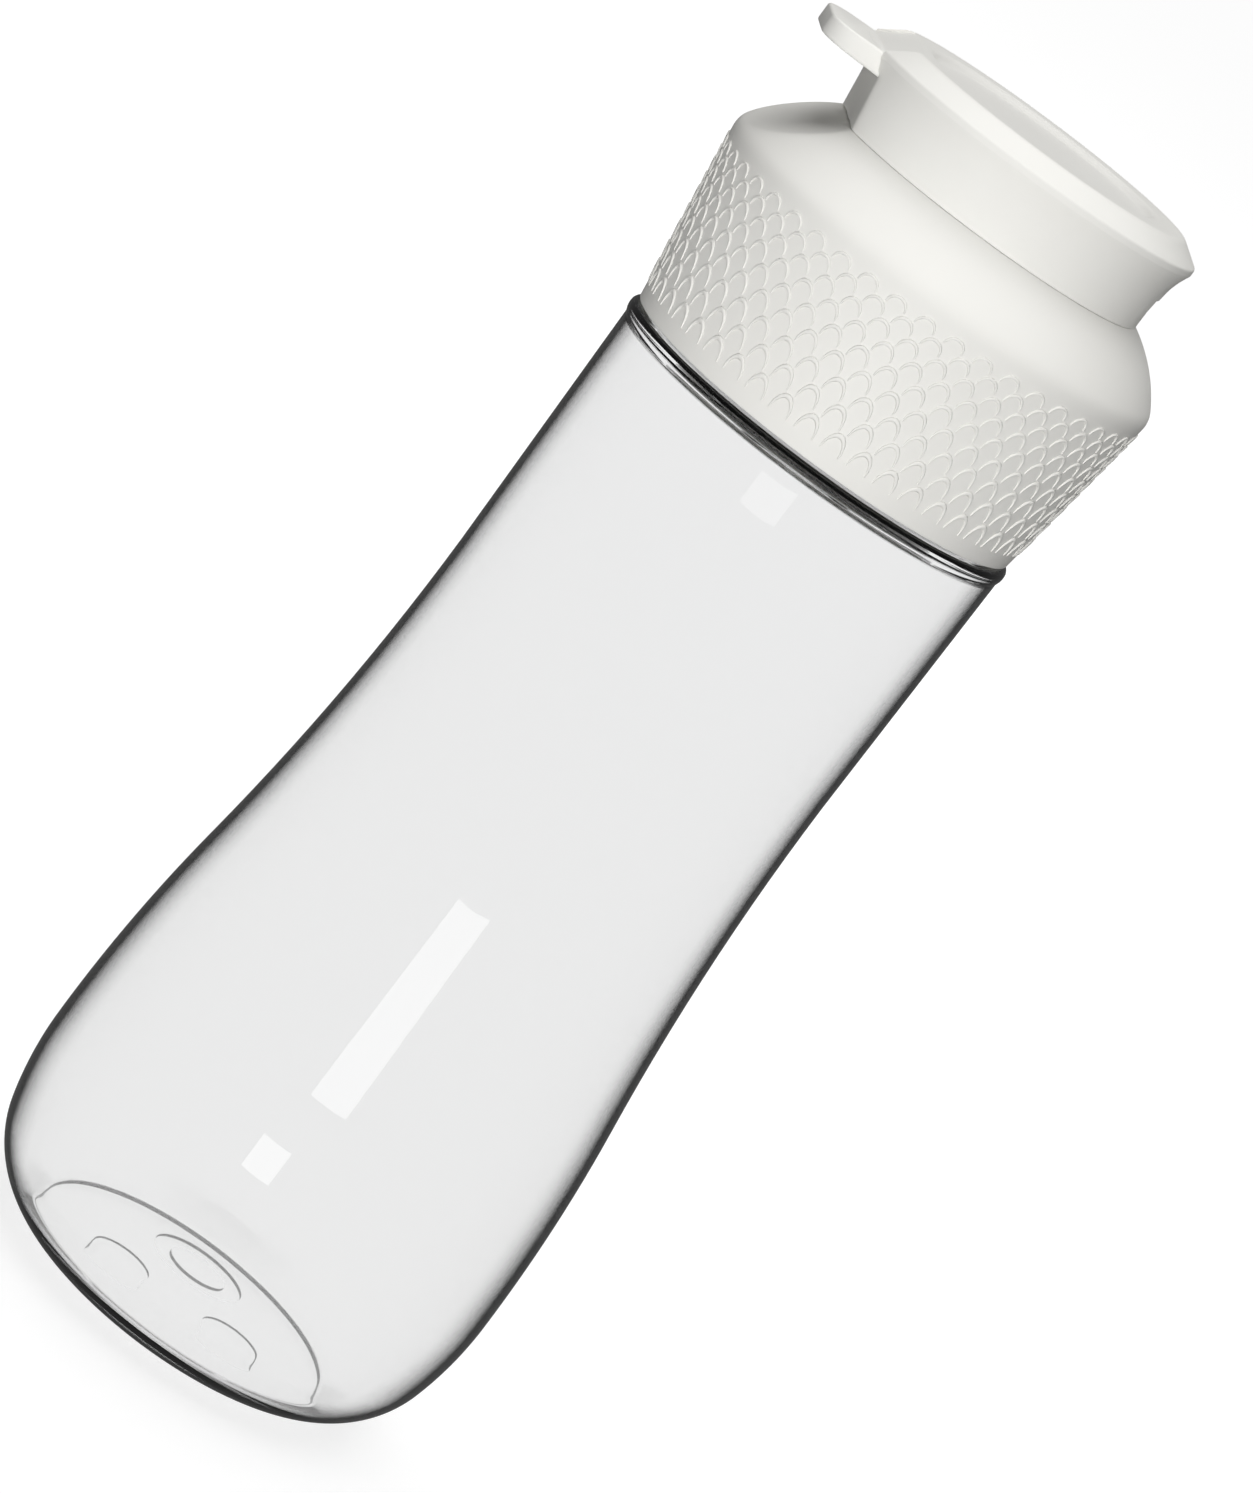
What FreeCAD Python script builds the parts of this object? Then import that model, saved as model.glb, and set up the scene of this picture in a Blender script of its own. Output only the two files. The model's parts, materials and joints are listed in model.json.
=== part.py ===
import FreeCAD, Part
import math
import os
import re

import Sketcher

# A squeeze bottle for sauce: a waisted clear bottle, a screw cap with a valved nozzle, and a flip lid that
# turns on a pin at the back of the cap. Z points up from the bottle's foot, the lid's tab points along -X
# and its hinge lies along Y on the +X side. Every length is in millimetres.
SIZES = {
    # One distance by which every cut passes the face that it leaves through
    "overrun": 2.0,
    # Bottle: side outline, from the foot up to the bead under the cap
    "belly_radius": 34.0,
    "belly_height": 22.0,
    "belly_low_bend": 47.0,
    "belly_high_bend": 220.0,
    "heel_bend": 14.3,
    "heel_cut": 0.5,
    "waist_depth": 5.7,
    "grip_height": 103.0,
    "throat_radius": 28.65,
    "throat_height": 138.9,
    "bead_height": 2.1,
    "bead_bend": 2.0,
    # Bottle: inside and base
    "bottle_wall": 1.8,
    "floor_thickness": 3.0,
    "inner_heel_bend": 11.0,
    "shoulder_thickness": 2.0,
    "foot_ring": 1.1,
    "recess_depth": 0.5,
    # Bottle: neck and its right-hand thread
    "neck_radius": 22.5,
    "neck_wall": 2.0,
    "neck_height": 22.0,
    "thread_start": 8.0,
    "thread_pitch": 4.0,
    "thread_turns": 1.5,
    "thread_depth": 1.2,
    "thread_root": 2.0,
    "thread_crest": 0.9,
    "thread_sink": 0.5,
    "thread_gap": 0.4,
    "thread_play": 0.4,
    # Gasket between the bottle's mouth and the cap
    "gasket_thickness": 1.5,
    "gasket_gap": 0.4,
    "gasket_inset": 0.1,
    # Screw cap: collar, dome and seat of the lid
    "collar_gap": 0.4,
    "collar_wall": 1.5,
    "collar_room": 1.7,
    "collar_flare": 2.95,
    "skirt_lift": 2.0,
    "skirt_wall": 1.4,
    "rim_rise": 1.8,
    "core_rise": 1.2,
    "dome_height": 8.3,
    "dome_bend": 20.0,
    "seat_radius": 23.2,
    "cap_flat_inset": 0.1,
    "cap_flat_lift": 0.3,
    # Screw cap: chamber, deck, spigot inside the lid and nozzle
    "chamber_step": 3.1,
    "deck_drop": 1.6,
    "deck_thickness": 1.6,
    "spigot_height": 2.9,
    "spigot_wall": 1.45,
    "nozzle_bore": 7.2,
    "nozzle_wall": 1.2,
    "nozzle_draft": 0.6,
    "nozzle_height": 7.0,
    "nozzle_step": 1.6,
    "nozzle_lip": 1.4,
    # Valve and the ring that holds it
    "valve_flange": 1.5,
    "valve_fit": 0.1,
    "valve_gap": 0.3,
    "valve_dish": 0.6,
    "valve_web": 0.7,
    "valve_skirt": 0.9,
    "slit_margin": 0.9,
    "slit_width": 0.3,
    "ring_height": 4.0,
    "ring_wall": 2.0,
    "ring_fit": 0.03,
    # Flip lid: neck, lip, top and the boss of its seal
    "lid_gap": 0.2,
    "lid_wall": 2.8,
    "lid_fit": 0.8,
    "flare_swell": 0.4,
    "flare_rise": 5.0,
    "flare_bend": 11.0,
    "lip_swell": 1.2,
    "lip_rise": 9.0,
    "lip_band": 0.9,
    "bevel_run": 3.3,
    "bevel_rise": 2.3,
    "top_land": 4.5,
    "dish_slope": 1.0,
    "dish_depth": 0.8,
    "lid_plate": 1.7,
    "boss_bore": 7.4,
    "boss_wall": 1.8,
    "seal_flange": 1.0,
    "seal_fit": 0.05,
    # Flip lid: tab, the ramp above it and the flat below it
    "tab_length": 6.8,
    "tab_root_inset": 1.5,
    "tab_width": 17.0,
    "tab_lift": 0.6,
    "tab_root_thickness": 2.9,
    "tab_tip_thickness": 2.6,
    "tab_droop": 0.1,
    "tab_corner": 4.5,
    "tab_sink": 1.0,
    "ramp_run": 2.5,
    "flat_depth": 2.1,
    "flat_slope": 1.0,
    # Hinge
    "hinge_rise": 2.0,
    "knuckle_radius": 1.4,
    "knuckle_width": 4.8,
    "knuckle_root": 0.6,
    "ear_width": 5.0,
    "hinge_side_gap": 0.2,
    "window_room": 1.6,
    "window_rise": 2.6,
    "pin_radius": 0.6,
    "pin_inset": 2.2,
    "ear_fit": 0.02,
    "knuckle_fit": 0.06,
}

# Places and sizes that follow from the driving ones
PLACES = {
    # Outer side of the bottle: centres of its arcs and the points where they meet
    "heel_rise": "heel_bend - heel_cut",
    "low_centre": "belly_radius - belly_low_bend",
    "heel_centre": "low_centre + sqrt((belly_low_bend - heel_bend)^2 - (belly_height - heel_rise)^2)",
    "foot_radius": "heel_centre + sqrt(heel_bend^2 - heel_rise^2)",
    "recess_radius": "foot_radius - foot_ring",
    "heel_share": "belly_low_bend / (belly_low_bend - heel_bend)",
    "heel_end_radius": "low_centre + (heel_centre - low_centre) * heel_share",
    "heel_end_height": "belly_height + (heel_rise - belly_height) * heel_share",
    "grip_radius": "belly_radius - waist_depth",
    "waist_rise": "grip_height - belly_height",
    "bend_sum": "(waist_depth^2 + waist_rise^2) / (2 * waist_depth)",
    "waist_bend": "bend_sum - belly_high_bend",
    "turn_share": "belly_high_bend / bend_sum",
    "turn_radius": "belly_radius - belly_high_bend + (bend_sum - waist_depth) * turn_share",
    "turn_height": "belly_height + waist_rise * turn_share",
    # Inner side of the bottle, one wall inside the outer one
    "inner_low_bend": "belly_low_bend - bottle_wall",
    "inner_high_bend": "belly_high_bend - bottle_wall",
    "inner_waist_bend": "waist_bend + bottle_wall",
    "inner_heel_rise": "floor_thickness + inner_heel_bend",
    "inner_heel_centre":
        "low_centre + sqrt((inner_low_bend - inner_heel_bend)^2 - (belly_height - inner_heel_rise)^2)",
    "inner_heel_share": "inner_low_bend / (inner_low_bend - inner_heel_bend)",
    "inner_heel_end_radius": "low_centre + (inner_heel_centre - low_centre) * inner_heel_share",
    "inner_heel_end_height": "belly_height + (inner_heel_rise - belly_height) * inner_heel_share",
    "inner_turn_share": "inner_high_bend / bend_sum",
    "inner_turn_radius": "belly_radius - belly_high_bend + (bend_sum - waist_depth) * inner_turn_share",
    "inner_turn_height": "belly_height + waist_rise * inner_turn_share",
    # Neck, thread and gasket
    "shoulder_height": "throat_height + bead_height",
    "mouth_height": "shoulder_height + neck_height",
    "mouth_bore": "neck_radius - neck_wall",
    "thread_height": "shoulder_height + thread_start",
    "thread_drop": "(thread_root + thread_crest) / 2 + thread_play",
    "gasket_top": "mouth_height + gasket_thickness",
    "skirt_bore": "neck_radius + thread_depth + thread_gap",
    # Cap
    "skirt_radius": "skirt_bore + skirt_wall",
    "collar_bore": "skirt_radius + collar_room",
    "collar_radius": "collar_bore + collar_wall",
    "rim_radius": "collar_radius + collar_flare",
    "chamber_radius": "skirt_bore - chamber_step",
    "collar_foot": "shoulder_height + collar_gap",
    "rim_height": "gasket_top + rim_rise",
    "core_top": "rim_height + core_rise",
    "seat_height": "rim_height + dome_height",
    "cap_flat_reach": "rim_radius - cap_flat_inset",
    "deck_top": "seat_height - deck_drop",
    "deck_foot": "deck_top - deck_thickness",
    "spigot_radius": "lid_bore - lid_fit",
    "spigot_bore": "spigot_radius - spigot_wall",
    "spigot_top": "seat_height + spigot_height",
    "nozzle_mouth": "nozzle_bore - nozzle_step",
    "nozzle_top_radius": "nozzle_bore + nozzle_wall",
    "nozzle_radius": "nozzle_top_radius + nozzle_draft",
    "nozzle_top": "deck_top + nozzle_height",
    "nozzle_shelf": "nozzle_top - nozzle_lip",
    "flange_foot": "nozzle_shelf - valve_flange",
    "valve_neck": "nozzle_mouth - valve_gap",
    "valve_top": "nozzle_top - valve_gap",
    "valve_floor": "valve_top - valve_dish",
    "web_radius": "valve_neck - valve_skirt",
    "slit_length": "2 * (web_radius - slit_margin)",
    "ring_bore": "nozzle_bore - ring_wall",
    # Lid
    "lid_bore": "seat_radius - lid_wall",
    "flare_radius": "seat_radius + flare_swell",
    "lip_radius": "flare_radius + lip_swell",
    "lid_top_radius": "lip_radius - bevel_run",
    "dish_rim_radius": "lid_top_radius - top_land",
    "dish_radius": "dish_rim_radius - dish_slope",
    "lid_foot": "seat_height + lid_gap",
    "lip_height": "lid_foot + lip_rise",
    "lip_top": "lip_height + lip_band",
    "lid_top": "lip_top + bevel_rise",
    "dish_floor": "lid_top - dish_depth",
    "ceiling": "dish_floor - lid_plate",
    "boss_foot": "nozzle_top + seal_flange",
    "boss_radius": "boss_bore + boss_wall",
    "tab_reach": "lip_radius + tab_length",
    "tab_root_reach": "lip_radius - tab_root_inset",
    "tab_sink_reach": "lid_bore + tab_sink",
    "tab_top": "lip_height + tab_lift",
    "tab_foot": "tab_top - tab_root_thickness",
    "tip_top": "tab_top - tab_droop",
    "ramp_reach": "lid_top_radius - ramp_run",
    "flat_foot_reach": "seat_radius - flat_depth",
    "flat_head_reach": "flat_foot_reach + flat_slope",
    # Hinge
    "hinge_reach": "seat_radius - knuckle_radius",
    "hinge_height": "seat_height + hinge_rise",
    "hinge_inner": "hinge_reach - knuckle_radius",
    "hinge_outer": "hinge_reach + knuckle_radius",
    "slot_width": "knuckle_width + 2 * hinge_side_gap",
    "ears_width": "slot_width + 2 * ear_width",
    "window_width": "ears_width + 2 * hinge_side_gap",
    "window_top": "hinge_height + window_rise",
    "pin_length": "ears_width - 2 * pin_inset",
}

doc = FreeCAD.newDocument("squeeze_bottle")
dims = doc.addObject("Spreadsheet::Sheet", "dims")


def fill_sheet():
    """Write each driving size into the sheet, with its name beside it and as its alias."""
    for row, (name, number) in enumerate(SIZES.items(), start=1):
        dims.set(f"A{row}", name)
        dims.set(f"B{row}", str(number))
        dims.setAlias(f"B{row}", name)
    doc.recompute()


def spell(text):
    """Turn an expression in named sizes into one that refers to the sheet's cells."""
    def reference(match):
        word = match.group(0)
        if word in PLACES:
            return "(" + spell(PLACES[word]) + ")"
        if word in SIZES:
            return "dims." + word
        return word
    return re.sub(r"[a-z_]+", reference, text)


def value(text):
    """Work out an expression in named sizes."""
    return float(dims.evalExpression(spell(text)))


def bind(feature, prop, text):
    """Tie a property of a feature to an expression in named sizes."""
    feature.setExpression(prop, spell(text))


def new_body(name):
    """Make the body of one sub-part."""
    body = doc.addObject("PartDesign::Body", name)
    body.Label = name
    body.Placement = FreeCAD.Placement()
    return body


def new_sketch(body, name, role="XZ_Plane"):
    """Make a sketch on one of the body's own origin planes."""
    sketch = body.newObject("Sketcher::SketchObject", name)
    plane = next(item for item in body.Origin.OriginFeatures if item.Role == role)
    sketch.AttachmentSupport = [(plane, "")]
    sketch.MapMode = "FlatFace"
    return sketch


def hold(sketch, constraint, text):
    """Add a constraint whose datum follows an expression."""
    number = sketch.addConstraint(constraint)
    sketch.setExpression(f"Constraints[{number}]", spell(text))


def hold_point(sketch, geometry, end, point):
    """Hold one end of a line or an arc, or the centre of a circle, at a point of the sketch."""
    for kind, axis, text in (("DistanceX", -2, point[0]), ("DistanceY", -1, point[1])):
        if text == "0":
            sketch.addConstraint(Sketcher.Constraint("PointOnObject", geometry, end, axis))
        else:
            hold(sketch, Sketcher.Constraint(kind, -1, 1, geometry, end, value(text)), text)


def arc_between(start, finish, radius, side):
    """Make the shorter arc between two points, with its centre on the left (1) or the right (-1)."""
    chord = finish - start
    rise = math.sqrt(max(radius ** 2 - (chord.Length / 2) ** 2, 0))
    left = FreeCAD.Vector(-chord.y, chord.x, 0).normalize()
    centre = (start + finish) / 2 + left * rise * side
    first, last = (start, finish) if side > 0 else (finish, start)
    angles = [math.atan2(end.y - centre.y, end.x - centre.x) for end in (first, last)]
    circle = Part.Circle(centre, FreeCAD.Vector(0, 0, 1), radius)
    return Part.ArcOfCircle(circle, angles[0], angles[1])


def draw(sketch, points):
    """Draw a closed outline through points (across, up) or (across, up, bend).

    A bend is the radius of the arc to the next point. Its centre lies on the left of the way there, or on
    the right where the bend is written with a minus sign.
    """
    corners = [FreeCAD.Vector(value(point[0]), value(point[1]), 0) for point in points]
    ends = []
    for index, point in enumerate(points):
        start = corners[index]
        finish = corners[(index + 1) % len(points)]
        if len(point) == 2:
            line = sketch.addGeometry(Part.LineSegment(start, finish))
            ends.append((line, 1, 2))
            continue
        side = -1 if point[2].startswith("-") else 1
        bend = point[2].lstrip("-")
        arc = sketch.addGeometry(arc_between(start, finish, value(bend), side))
        hold(sketch, Sketcher.Constraint("Radius", arc, value(bend)), bend)
        ends.append((arc, 1, 2) if side > 0 else (arc, 2, 1))
    for index, point in enumerate(points):
        before = ends[index - 1]
        here = ends[index]
        sketch.addConstraint(Sketcher.Constraint("Coincident", before[0], before[2], here[0], here[1]))
        hold_point(sketch, here[0], here[1], point)


def draw_circle(sketch, centre, radius):
    """Draw a circle about a point of the sketch."""
    middle = FreeCAD.Vector(value(centre[0]), value(centre[1]), 0)
    circle = sketch.addGeometry(Part.Circle(middle, FreeCAD.Vector(0, 0, 1), value(radius)))
    hold(sketch, Sketcher.Constraint("Radius", circle, value(radius)), radius)
    hold_point(sketch, circle, 3, centre)


def finish_feature(body, feature, before):
    """Recompute and make sure that the feature added or removed material as its kind says."""
    doc.recompute()
    change = body.Shape.Volume - before
    removes = feature.TypeId in ("PartDesign::Pocket", "PartDesign::Groove")
    if change == 0 or (change < 0) != removes:
        raise RuntimeError(f"{feature.Name} changed the volume by {change}")


def volume_of(body):
    """Volume of what the body holds so far."""
    return 0 if body.Shape.isNull() else body.Shape.Volume


def turned(body, name, points, kind="Revolution"):
    """Turn an outline, drawn from the axis outwards, about Z: a Revolution adds and a Groove removes."""
    before = volume_of(body)
    sketch = new_sketch(body, name + "_outline")
    draw(sketch, points)
    feature = body.newObject("PartDesign::" + kind, name)
    feature.Profile = sketch
    feature.ReferenceAxis = (sketch, ["V_Axis"])
    finish_feature(body, feature, before)
    return feature


def across(body, name, points, width, kind="Pad"):
    """Extrude an outline, drawn from the side, to both sides along Y: a Pad adds and a Pocket removes."""
    before = volume_of(body)
    sketch = new_sketch(body, name + "_outline")
    draw(sketch, points)
    feature = body.newObject("PartDesign::" + kind, name)
    feature.Profile = sketch
    feature.SideType = "Symmetric"
    bind(feature, "Length", width)
    finish_feature(body, feature, before)
    return feature


def rod(body, name, centre, radius, length, kind="Pad"):
    """Add a round bar along Y, or remove one with a Pocket."""
    before = volume_of(body)
    sketch = new_sketch(body, name + "_outline")
    draw_circle(sketch, centre, radius)
    feature = body.newObject("PartDesign::" + kind, name)
    feature.Profile = sketch
    feature.SideType = "Symmetric"
    bind(feature, "Length", length)
    finish_feature(body, feature, before)
    return feature


def thread(body, name, wall, inner, crest, height):
    """Add a right-hand thread ridge with its root at a wall, its crest at a radius and its start height."""
    before = volume_of(body)
    sketch = new_sketch(body, name + "_outline")
    root_low = f"{height} - thread_root / 2"
    root_high = f"{height} + thread_root / 2"
    crest_low = f"{height} - thread_crest / 2"
    crest_high = f"{height} + thread_crest / 2"
    draw(sketch, [
        (inner, root_low),
        (wall, root_low),
        (crest, crest_low),
        (crest, crest_high),
        (wall, root_high),
        (inner, root_high),
    ])
    ridge = body.newObject("PartDesign::AdditiveHelix", name)
    ridge.Profile = sketch
    ridge.ReferenceAxis = (sketch, ["V_Axis"])
    ridge.Mode = "pitch-turns-angle"
    bind(ridge, "Pitch", "thread_pitch")
    bind(ridge, "Turns", "thread_turns")
    finish_feature(body, ridge, before)
    return ridge


def make_bottle():
    """Clear bottle: base with a recessed panel, waisted wall, bead, shoulder and threaded neck."""
    body = new_body("bottle")
    turned(body, "wall", [
        ("0", "recess_depth"),
        ("recess_radius", "recess_depth"),
        ("recess_radius", "0"),
        ("foot_radius", "0", "heel_bend"),
        ("heel_end_radius", "heel_end_height", "belly_low_bend"),
        ("belly_radius", "belly_height", "belly_high_bend"),
        ("turn_radius", "turn_height", "-waist_bend"),
        ("grip_radius", "grip_height"),
        ("throat_radius", "throat_height", "bead_bend"),
        ("throat_radius", "shoulder_height"),
        ("neck_radius", "shoulder_height"),
        ("neck_radius", "mouth_height"),
        ("mouth_bore", "mouth_height"),
        ("mouth_bore", "shoulder_height - shoulder_thickness"),
        ("throat_radius - bottle_wall", "throat_height"),
        ("grip_radius - bottle_wall", "grip_height", "inner_waist_bend"),
        ("inner_turn_radius", "inner_turn_height", "-inner_high_bend"),
        ("belly_radius - bottle_wall", "belly_height", "-inner_low_bend"),
        ("inner_heel_end_radius", "inner_heel_end_height", "-inner_heel_bend"),
        ("inner_heel_centre", "floor_thickness"),
        ("0", "floor_thickness"),
    ])
    thread(body, "neck_thread", "neck_radius", "neck_radius - thread_sink", "neck_radius + thread_depth",
           "thread_height")
    return body


def make_neck_gasket():
    """Flat ring on the bottle's mouth, under the cap's inner step."""
    body = new_body("neck_gasket")
    turned(body, "ring", [
        ("mouth_bore + gasket_inset", "mouth_height"),
        ("skirt_bore - gasket_gap", "mouth_height"),
        ("skirt_bore - gasket_gap", "gasket_top"),
        ("mouth_bore + gasket_inset", "gasket_top"),
    ])
    return body


def make_screw_cap():
    """Cap: collar, dome and threaded skirt in one moulding with the deck, nozzle, spigot and hinge ears."""
    body = new_body("screw_cap")
    turned(body, "shell", [
        ("collar_radius", "collar_foot"),
        ("rim_radius", "rim_height", "dome_bend"),
        ("seat_radius", "seat_height"),
        ("spigot_radius", "seat_height"),
        ("spigot_radius", "spigot_top"),
        ("spigot_bore", "spigot_top"),
        ("spigot_bore", "deck_top"),
        ("nozzle_radius", "deck_top"),
        ("nozzle_top_radius", "nozzle_top"),
        ("nozzle_mouth", "nozzle_top"),
        ("nozzle_mouth", "nozzle_shelf"),
        ("nozzle_bore", "nozzle_shelf"),
        ("nozzle_bore", "deck_foot"),
        ("chamber_radius", "deck_foot"),
        ("chamber_radius", "gasket_top"),
        ("skirt_bore", "gasket_top"),
        ("skirt_bore", "collar_foot + skirt_lift"),
        ("skirt_radius", "collar_foot + skirt_lift"),
        ("skirt_radius", "core_top"),
        ("collar_bore", "core_top"),
        ("collar_bore", "collar_foot"),
    ])
    thread(body, "skirt_thread", "skirt_bore", "skirt_bore + thread_sink", "skirt_bore - thread_depth",
           "thread_height - thread_drop")
    across(body, "tab_flat", [
        ("-flat_foot_reach", "seat_height"),
        ("-(rim_radius + overrun)", "seat_height"),
        ("-(rim_radius + overrun)", "rim_height + cap_flat_lift"),
        ("-cap_flat_reach", "rim_height + cap_flat_lift"),
    ], "2 * rim_radius", "Pocket")
    across(body, "ears", [
        ("hinge_inner", "seat_height"),
        ("hinge_outer", "seat_height"),
        ("hinge_outer", "hinge_height", "knuckle_radius"),
        ("hinge_reach", "hinge_height + knuckle_radius", "knuckle_radius"),
        ("hinge_inner", "hinge_height"),
    ], "ears_width")
    across(body, "slot", [
        ("hinge_inner", "seat_height"),
        ("hinge_outer + overrun", "seat_height"),
        ("hinge_outer + overrun", "hinge_height + knuckle_radius + overrun"),
        ("hinge_inner", "hinge_height + knuckle_radius + overrun"),
    ], "slot_width", "Pocket")
    turned(body, "ear_backs", [
        ("seat_radius", "seat_height"),
        ("rim_radius", "seat_height"),
        ("rim_radius", "hinge_height + knuckle_radius + overrun"),
        ("seat_radius", "hinge_height + knuckle_radius + overrun"),
    ], "Groove")
    rod(body, "pin_hole", ("hinge_reach", "hinge_height"), "pin_radius + ear_fit", "ears_width + overrun",
        "Pocket")
    return body


def make_slit_valve():
    """Soft valve: a flange under the nozzle's lip and a dished face with two crossed slits."""
    body = new_body("slit_valve")
    turned(body, "cup", [
        ("0", "valve_floor"),
        ("0", "valve_floor - valve_web"),
        ("web_radius", "valve_floor - valve_web"),
        ("web_radius", "flange_foot"),
        ("nozzle_bore - valve_fit", "flange_foot"),
        ("nozzle_bore - valve_fit", "nozzle_shelf"),
        ("valve_neck", "nozzle_shelf"),
        ("valve_neck", "valve_top"),
    ])
    for name, long_side, short_side in (
        ("slit_along", "slit_length", "slit_width"),
        ("slit_across", "slit_width", "slit_length"),
    ):
        before = volume_of(body)
        sketch = new_sketch(body, name + "_outline", "XY_Plane")
        draw(sketch, [
            (f"-{long_side} / 2", f"-{short_side} / 2"),
            (f"{long_side} / 2", f"-{short_side} / 2"),
            (f"{long_side} / 2", f"{short_side} / 2"),
            (f"-{long_side} / 2", f"{short_side} / 2"),
        ])
        slit = body.newObject("PartDesign::Pocket", name)
        slit.Profile = sketch
        slit.SideType = "Symmetric"
        slit.Type = "ThroughAll"
        finish_feature(body, slit, before)
    return body


def make_valve_ring():
    """Ring pressed into the nozzle from below, against the valve's flange."""
    body = new_body("valve_ring")
    turned(body, "ring", [
        ("ring_bore", "flange_foot - ring_height"),
        ("nozzle_bore - ring_fit", "flange_foot - ring_height"),
        ("nozzle_bore - ring_fit", "flange_foot"),
        ("ring_bore", "flange_foot"),
    ])
    return body


def make_flip_lid():
    """Lid: flared neck, lip, bevelled and dished top, thumb tab with ramp and flat, and hinge knuckle."""
    body = new_body("flip_lid")
    turned(body, "shell", [
        ("lid_bore", "lid_foot"),
        ("seat_radius", "lid_foot"),
        ("flare_radius", "lid_foot + flare_rise", "-flare_bend"),
        ("lip_radius", "lip_height"),
        ("lip_radius", "lip_top"),
        ("lid_top_radius", "lid_top"),
        ("dish_rim_radius", "lid_top"),
        ("dish_radius", "dish_floor"),
        ("0", "dish_floor"),
        ("0", "ceiling"),
        ("boss_bore", "ceiling"),
        ("boss_bore", "boss_foot"),
        ("boss_radius", "boss_foot"),
        ("boss_radius", "ceiling"),
        ("lid_bore", "ceiling"),
    ])
    across(body, "neck_flat", [
        ("-flat_foot_reach", "lid_foot"),
        ("-flat_head_reach", "tab_foot"),
        ("-(lip_radius + overrun)", "tab_foot"),
        ("-(lip_radius + overrun)", "lid_foot"),
    ], "2 * lip_radius", "Pocket")
    across(body, "ramp", [
        ("-ramp_reach", "lid_top"),
        ("-tab_root_reach", "tab_top"),
        ("-(lip_radius + overrun)", "tab_top"),
        ("-(lip_radius + overrun)", "lid_top"),
    ], "tab_width", "Pocket")
    tab = across(body, "tab", [
        ("-tab_reach", "tip_top - tab_tip_thickness"),
        ("-tab_sink_reach", "tab_foot"),
        ("-tab_sink_reach", "ceiling"),
        ("-ramp_reach", "ceiling"),
        ("-ramp_reach", "lid_top"),
        ("-tab_root_reach", "tab_top"),
        ("-tab_reach", "tip_top"),
    ], "tab_width")
    corners = body.newObject("PartDesign::Fillet", "tab_corners")
    corners.Base = (tab, tab_corner_edges(tab.Shape))
    bind(corners, "Radius", "tab_corner")
    doc.recompute()
    across(body, "window", [
        ("hinge_inner - window_room", "lid_foot"),
        ("lip_radius + overrun", "lid_foot"),
        ("lip_radius + overrun", "window_top"),
        ("hinge_inner - window_room", "window_top"),
    ], "window_width", "Pocket")
    across(body, "knuckle", [
        ("hinge_inner", "window_top + knuckle_root"),
        ("hinge_inner", "hinge_height", "knuckle_radius"),
        ("hinge_reach", "hinge_height - knuckle_radius", "knuckle_radius"),
        ("hinge_outer", "hinge_height"),
        ("hinge_outer", "window_top + knuckle_root"),
    ], "knuckle_width")
    rod(body, "pin_hole", ("hinge_reach", "hinge_height"), "pin_radius + knuckle_fit", "slot_width",
        "Pocket")
    return body


def tab_corner_edges(shape):
    """Names of the two upright edges at the tab's tip."""
    reach = value("tab_reach")
    tolerance = shape.getTolerance(0)
    names = []
    for number, edge in enumerate(shape.Edges, start=1):
        ends = edge.Vertexes
        at_tip = all(abs(end.X + reach) <= tolerance for end in ends)
        if at_tip and abs(ends[0].Y - ends[-1].Y) <= tolerance:
            names.append(f"Edge{number}")
    return names


def make_lid_seal():
    """Soft plug in the lid's boss, closing on the nozzle's top."""
    body = new_body("lid_seal")
    turned(body, "plug", [
        ("0", "nozzle_top"),
        ("boss_radius", "nozzle_top"),
        ("boss_radius", "boss_foot"),
        ("boss_bore - seal_fit", "boss_foot"),
        ("boss_bore - seal_fit", "ceiling"),
        ("0", "ceiling"),
    ])
    return body


def make_hinge_pin():
    """Pin held in the cap's ears, on which the lid's knuckle turns."""
    body = new_body("hinge_pin")
    rod(body, "pin", ("hinge_reach", "hinge_height"), "pin_radius", "pin_length")
    return body


def check(parts):
    """Stop if any object failed or any sub-part is not one valid solid."""
    for item in doc.Objects:
        if "Invalid" in item.State or "Error" in item.State:
            raise RuntimeError(f"{item.Name} failed: {item.State}")
    for part in parts:
        shape = part.Shape
        if shape.isNull() or not shape.isValid() or len(shape.Solids) != 1:
            raise RuntimeError(f"{part.Label} is not one valid solid")


def main():
    """Build every sub-part and write each to its own file."""
    fill_sheet()
    parts = [
        make_bottle(),
        make_neck_gasket(),
        make_screw_cap(),
        make_slit_valve(),
        make_valve_ring(),
        make_flip_lid(),
        make_lid_seal(),
        make_hinge_pin(),
    ]
    doc.recompute()
    check(parts)
    os.makedirs("parts", exist_ok=True)
    for part in parts:
        part.Shape.exportStep(f"parts/{part.Label}.step")
        box = part.Shape.BoundBox
        print(f"{part.Label}: {part.Shape.Volume:.1f} mm3, z {box.ZMin:.2f} to {box.ZMax:.2f}")


main()
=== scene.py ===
"""Looks of a condiment squeeze bottle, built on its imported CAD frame.

The clear bottle, the screw cap with its scaled collar, the valve and the flip lid are modelled
here over the CAD solids that they stand for, in metres. Z points up from the bottle's foot, and
the lid's tab points along -X.
"""

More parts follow.
